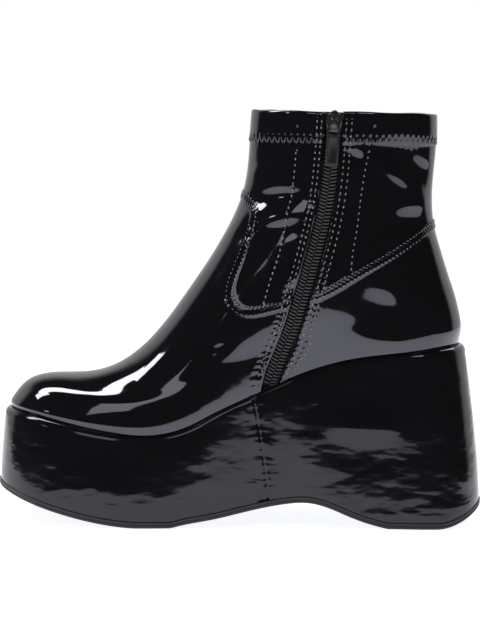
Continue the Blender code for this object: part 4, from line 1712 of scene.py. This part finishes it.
class BOOT_OT_slider(Operator):
    """Slider with flared shoulders, a raised crown and the bridge for the pull"""

    bl_idname = "boot.slider"
    bl_label = "Zip slider"

    def execute(self, context):
        low, high, pivot = slider_heights()
        right = [(x * SLIDER_WIDTH, y * SLIDER_LENGTH) for x, y in SLIDER_PLAN]
        plan = right + [(-x, y) for x, y in right[::-1]]
        thick = SLIDER_THICK * BODY_SHARE
        body = plate("slider", plan, thick, 0.0006, 3)
        set_in(body, Matrix.Translation((0, 0, low + thick / 2)))
        crown_plan = rounded_outline(CROWN_HALF, SLIDER_LENGTH / 2, CROWN_RADIUS, CROWN_UP)
        crown = plate("crown", crown_plan, SLIDER_THICK, 0.0007, 4)
        set_in(crown, Matrix.Translation((0, 0, high - SLIDER_THICK * CROWN_SUNK)))
        cut_away(body, crown, "UNION")
        hole = math.hypot(PULL_BAR, PULL_THICK) / 2 + PIVOT_CLEARANCE
        reach = hole + PIVOT_CLEARANCE
        bridge_plan = rounded_outline(reach + BRIDGE_BAR, hole + BRIDGE_BAR, BRIDGE_BAR, 0)
        bridge = plate("bridge", bridge_plan, BRIDGE_WIDTH, 0.0004, 3)
        eye_plan = rounded_outline(reach, hole, BRIDGE_BAR / 2, 0)
        eye = plate("eye", eye_plan, BRIDGE_WIDTH * 2, 0.0001, 1)
        cut_away(bridge, eye)
        upright = Matrix(((0, 0, 1, 0), (1, 0, 0, 0), (0, 1, 0, pivot), (0, 0, 0, 1)))
        set_in(bridge, upright)
        cut_away(body, bridge, "UNION")
        set_in(body, hinge_frame())
        finish = metal_finish("slider_paint", (0.03, 0.03, 0.032), metallic=0.7, coat=1.0)
        settle(body, "boot", finish, ("zip_slider",), 40)
        return {"FINISHED"}


class BOOT_OT_pull(Operator):
    """Pull tab with its eye and a pressed panel on either face"""

    bl_idname = "boot.pull"
    bl_label = "Zip pull"

    def execute(self, context):
        pivot = slider_heights()[2]
        middle = PULL_LENGTH / 2 - PULL_BAR / 4
        half = (PULL_WIDTH / 2, (PULL_LENGTH + PULL_BAR / 2) / 2)
        plan = rounded_outline(*half, PULL_WIDTH / 4, middle)
        tab = plate("pull_tab", plan, PULL_THICK, 0.00028, 3)
        eye_middle = PULL_BAR / 2 + PULL_EYE_LENGTH / 2
        eye_half = (PULL_EYE_WIDTH / 2, PULL_EYE_LENGTH / 2)
        eye_plan = rounded_outline(*eye_half, PULL_EYE_WIDTH / 5, eye_middle)
        cut_away(tab, plate("eye", eye_plan, PULL_THICK * 3, 0.0001, 1))
        panel_middle = (PULL_LENGTH + PULL_EYE_LENGTH) / 2
        panel_half = (PULL_WIDTH / 2 - PANEL_SIDE, (PULL_LENGTH - PULL_EYE_LENGTH) / 2 - PANEL_END)
        panel_plan = rounded_outline(*panel_half, PANEL_CORNER, panel_middle)
        for side in (-1, 1):
            panel = plate("panel", panel_plan, PULL_THICK, 0.0002, 2)
            set_in(panel, Matrix.Translation((0, 0, side * PULL_THICK * PANEL_OUT)))
            cut_away(tab, panel)
        set_in(tab, hinge_frame() @ Matrix.Translation((0, 0, pivot)))
        finish = metal_finish("pull_paint", (0.008, 0.008, 0.009), metallic=0.0, coat=0.05)
        settle(tab, "pull", finish, ("zip_pull",), 40)
        return {"FINISHED"}


# Camera: where it looks, from how far and how steeply, its roll and the focal length in pixels
AIM = (-0.0023, 0.0, 0.1102)
DISTANCE = 1.150
ELEVATION = 5.3
ROLL = 1.2
FOCAL = 2055.0
FRAME_HEIGHT = 640.0
SENSOR = 36.0

# Softboxes: turn from the camera's side of the boot, height angle, distance, width, height,
# roll and brightness
SOFTBOX_COLUMNS = ("name", "turn", "rise", "distance", "width", "height", "roll", "bright")
SOFTBOXES = (
    ("top_strip", -116, 61, 1.5, 0.95, 0.33, -35, 12.0),
    ("fore_strip", -89, 48, 1.5, 0.28, 0.46, 0, 12.0),
    ("front_panel", -15, 37, 1.6, 0.42, 0.78, 0, 1.8),
    ("side_box", 25, 48, 1.7, 0.30, 0.30, 0, 6.0),
    ("back_box", 140, 45, 1.6, 0.60, 0.60, 0, 4.0),
    ("small_box", -48, 20, 1.8, 0.14, 0.08, 0, 12.0),
)


# Floor: half its width, its front and back edge, and its height just under the sole
FLOOR_HALF = 2.2
FLOOR_FRONT = -1.6
FLOOR_BACK = 2.6
FLOOR_HEIGHT = -0.0002

# Background as the gloss sees it, by a ray's direction: where the glow sets in towards the back,
# where it fades with height, how bright it is, and how bright the rest is
GLOW_BACK = (0.26, 0.48)
GLOW_HIGH = (0.72, 0.48)
GLOW = 0.75
DARK = 0.015


class BOOT_OT_stage(Operator):
    """Pale floor, soft studio light and the camera"""

    bl_idname = "boot.stage"
    bl_label = "Studio"

    def execute(self, context):
        context.scene.view_settings.view_transform = "Standard"
        self.floor()
        self.world()
        for row in SOFTBOXES:
            self.softbox(dict(zip(SOFTBOX_COLUMNS, row)))
        self.camera()
        return {"FINISHED"}

    def floor(self):
        deselect()
        bpy.ops.mesh.primitive_plane_add(size=1)
        floor = bpy.context.object
        floor.name = "floor"
        for vertex in floor.data.vertices:
            vertex.co.x = FLOOR_HALF if vertex.co.x > 0 else -FLOOR_HALF
            vertex.co.y = FLOOR_BACK if vertex.co.y > 0 else FLOOR_FRONT
            vertex.co.z = FLOOR_HEIGHT
        finish = Finish("floor_paper")
        floor.data.materials.append(finish.surface(
            base_color=(0.86, 0.86, 0.87, 1), roughness=0.9, emission_color=(0.97, 0.98, 1.0, 1),
            emission_strength=0.9))

    def world(self):
        looks = bpy.context.scene.boot_studio
        world = bpy.data.worlds.new("studio")
        bpy.context.scene.world = world
        finish = Finish("studio", world)
        ray = finish.node("ShaderNodeLightPath", output="Is Camera Ray")
        where = finish.node("ShaderNodeTexCoord", output="Generated")
        _, behind, height = finish.parts(where)
        glow = finish.smooth_ramp(behind, *GLOW_BACK, top=GLOW)
        studio = glow * finish.smooth_ramp(height, *GLOW_HIGH) + DARK
        inputs = {"Color": colour(looks.backdrop), "Strength": ray + (1 - ray) * studio}
        colour_of = finish.node("ShaderNodeBackground", inputs=inputs, output="Background")
        finish.node("ShaderNodeOutputWorld", inputs={"Surface": colour_of})

    def softbox(self, box):
        turn = math.radians(box["turn"])
        rise = math.radians(box["rise"])
        flat = math.cos(rise)
        away = Vector((math.sin(turn) * flat, -math.cos(turn) * flat, math.sin(rise)))
        deselect()
        bpy.ops.object.light_add(type="AREA", location=Vector(AIM) + away * box["distance"])
        light = bpy.context.object
        light.name = box["name"]
        light.data.shape = "RECTANGLE"
        light.data.size = box["width"]
        light.data.size_y = box["height"]
        area = box["width"] * box["height"]
        light.data.energy = box["bright"] * math.pi * area * bpy.context.scene.boot_studio.key
        face = (-away).to_track_quat("-Z", "Y").to_matrix()
        roll = Matrix.Rotation(math.radians(box["roll"]), 3, "Z")
        light.rotation_euler = (face @ roll).to_euler()

    def camera(self):
        tilt = math.radians(ELEVATION)
        aim = Vector(AIM)
        back = Vector((0, -math.cos(tilt), math.sin(tilt)))
        deselect()
        bpy.ops.object.camera_add(location=aim + back * DISTANCE)
        camera = bpy.context.object
        look = (-back).to_track_quat("-Z", "Y").to_matrix()
        roll = Matrix.Rotation(math.radians(ROLL), 3, "Z")
        camera.rotation_euler = (look @ roll).to_euler()
        camera.data.sensor_width = SENSOR
        camera.data.lens = FOCAL * SENSOR / FRAME_HEIGHT
        bpy.context.scene.camera = camera


class BOOT_PT_panel(Panel):
    bl_label = "Patent Wedge Boot"
    bl_idname = "BOOT_PT_panel"
    bl_space_type = "VIEW_3D"
    bl_region_type = "UI"
    bl_category = "Boot"

    def draw(self, context):
        for operator in OPERATORS:
            self.layout.operator(operator.bl_idname)
        for name, group in GROUPS.items():
            box = self.layout.box()
            for key in group.__annotations__:
                box.prop(getattr(context.scene, name), key)


GROUPS = {
    "boot_upper": BOOT_PG_upper,
    "boot_stitch": BOOT_PG_stitch,
    "boot_zip": BOOT_PG_zip,
    "boot_finish": BOOT_PG_finish,
    "boot_studio": BOOT_PG_studio,
}
OPERATORS = (
    BOOT_OT_outsole,
    BOOT_OT_wedge,
    BOOT_OT_upper,
    BOOT_OT_lining,
    BOOT_OT_insole,
    BOOT_OT_tape,
    BOOT_OT_coil,
    BOOT_OT_stitching,
    BOOT_OT_slider,
    BOOT_OT_pull,
    BOOT_OT_stage,
)


def register():
    for each in (*GROUPS.values(), *OPERATORS, BOOT_PT_panel):
        bpy.utils.register_class(each)
    for name, group in GROUPS.items():
        setattr(bpy.types.Scene, name, PointerProperty(type=group))


def unregister():
    for name in GROUPS:
        delattr(bpy.types.Scene, name)
    for each in reversed((*GROUPS.values(), *OPERATORS, BOOT_PT_panel)):
        bpy.utils.unregister_class(each)


def main():
    register()
    for operator in OPERATORS:
        group, name = operator.bl_idname.split(".")
        getattr(getattr(bpy.ops, group), name)()


if __name__ == "__main__":
    main()
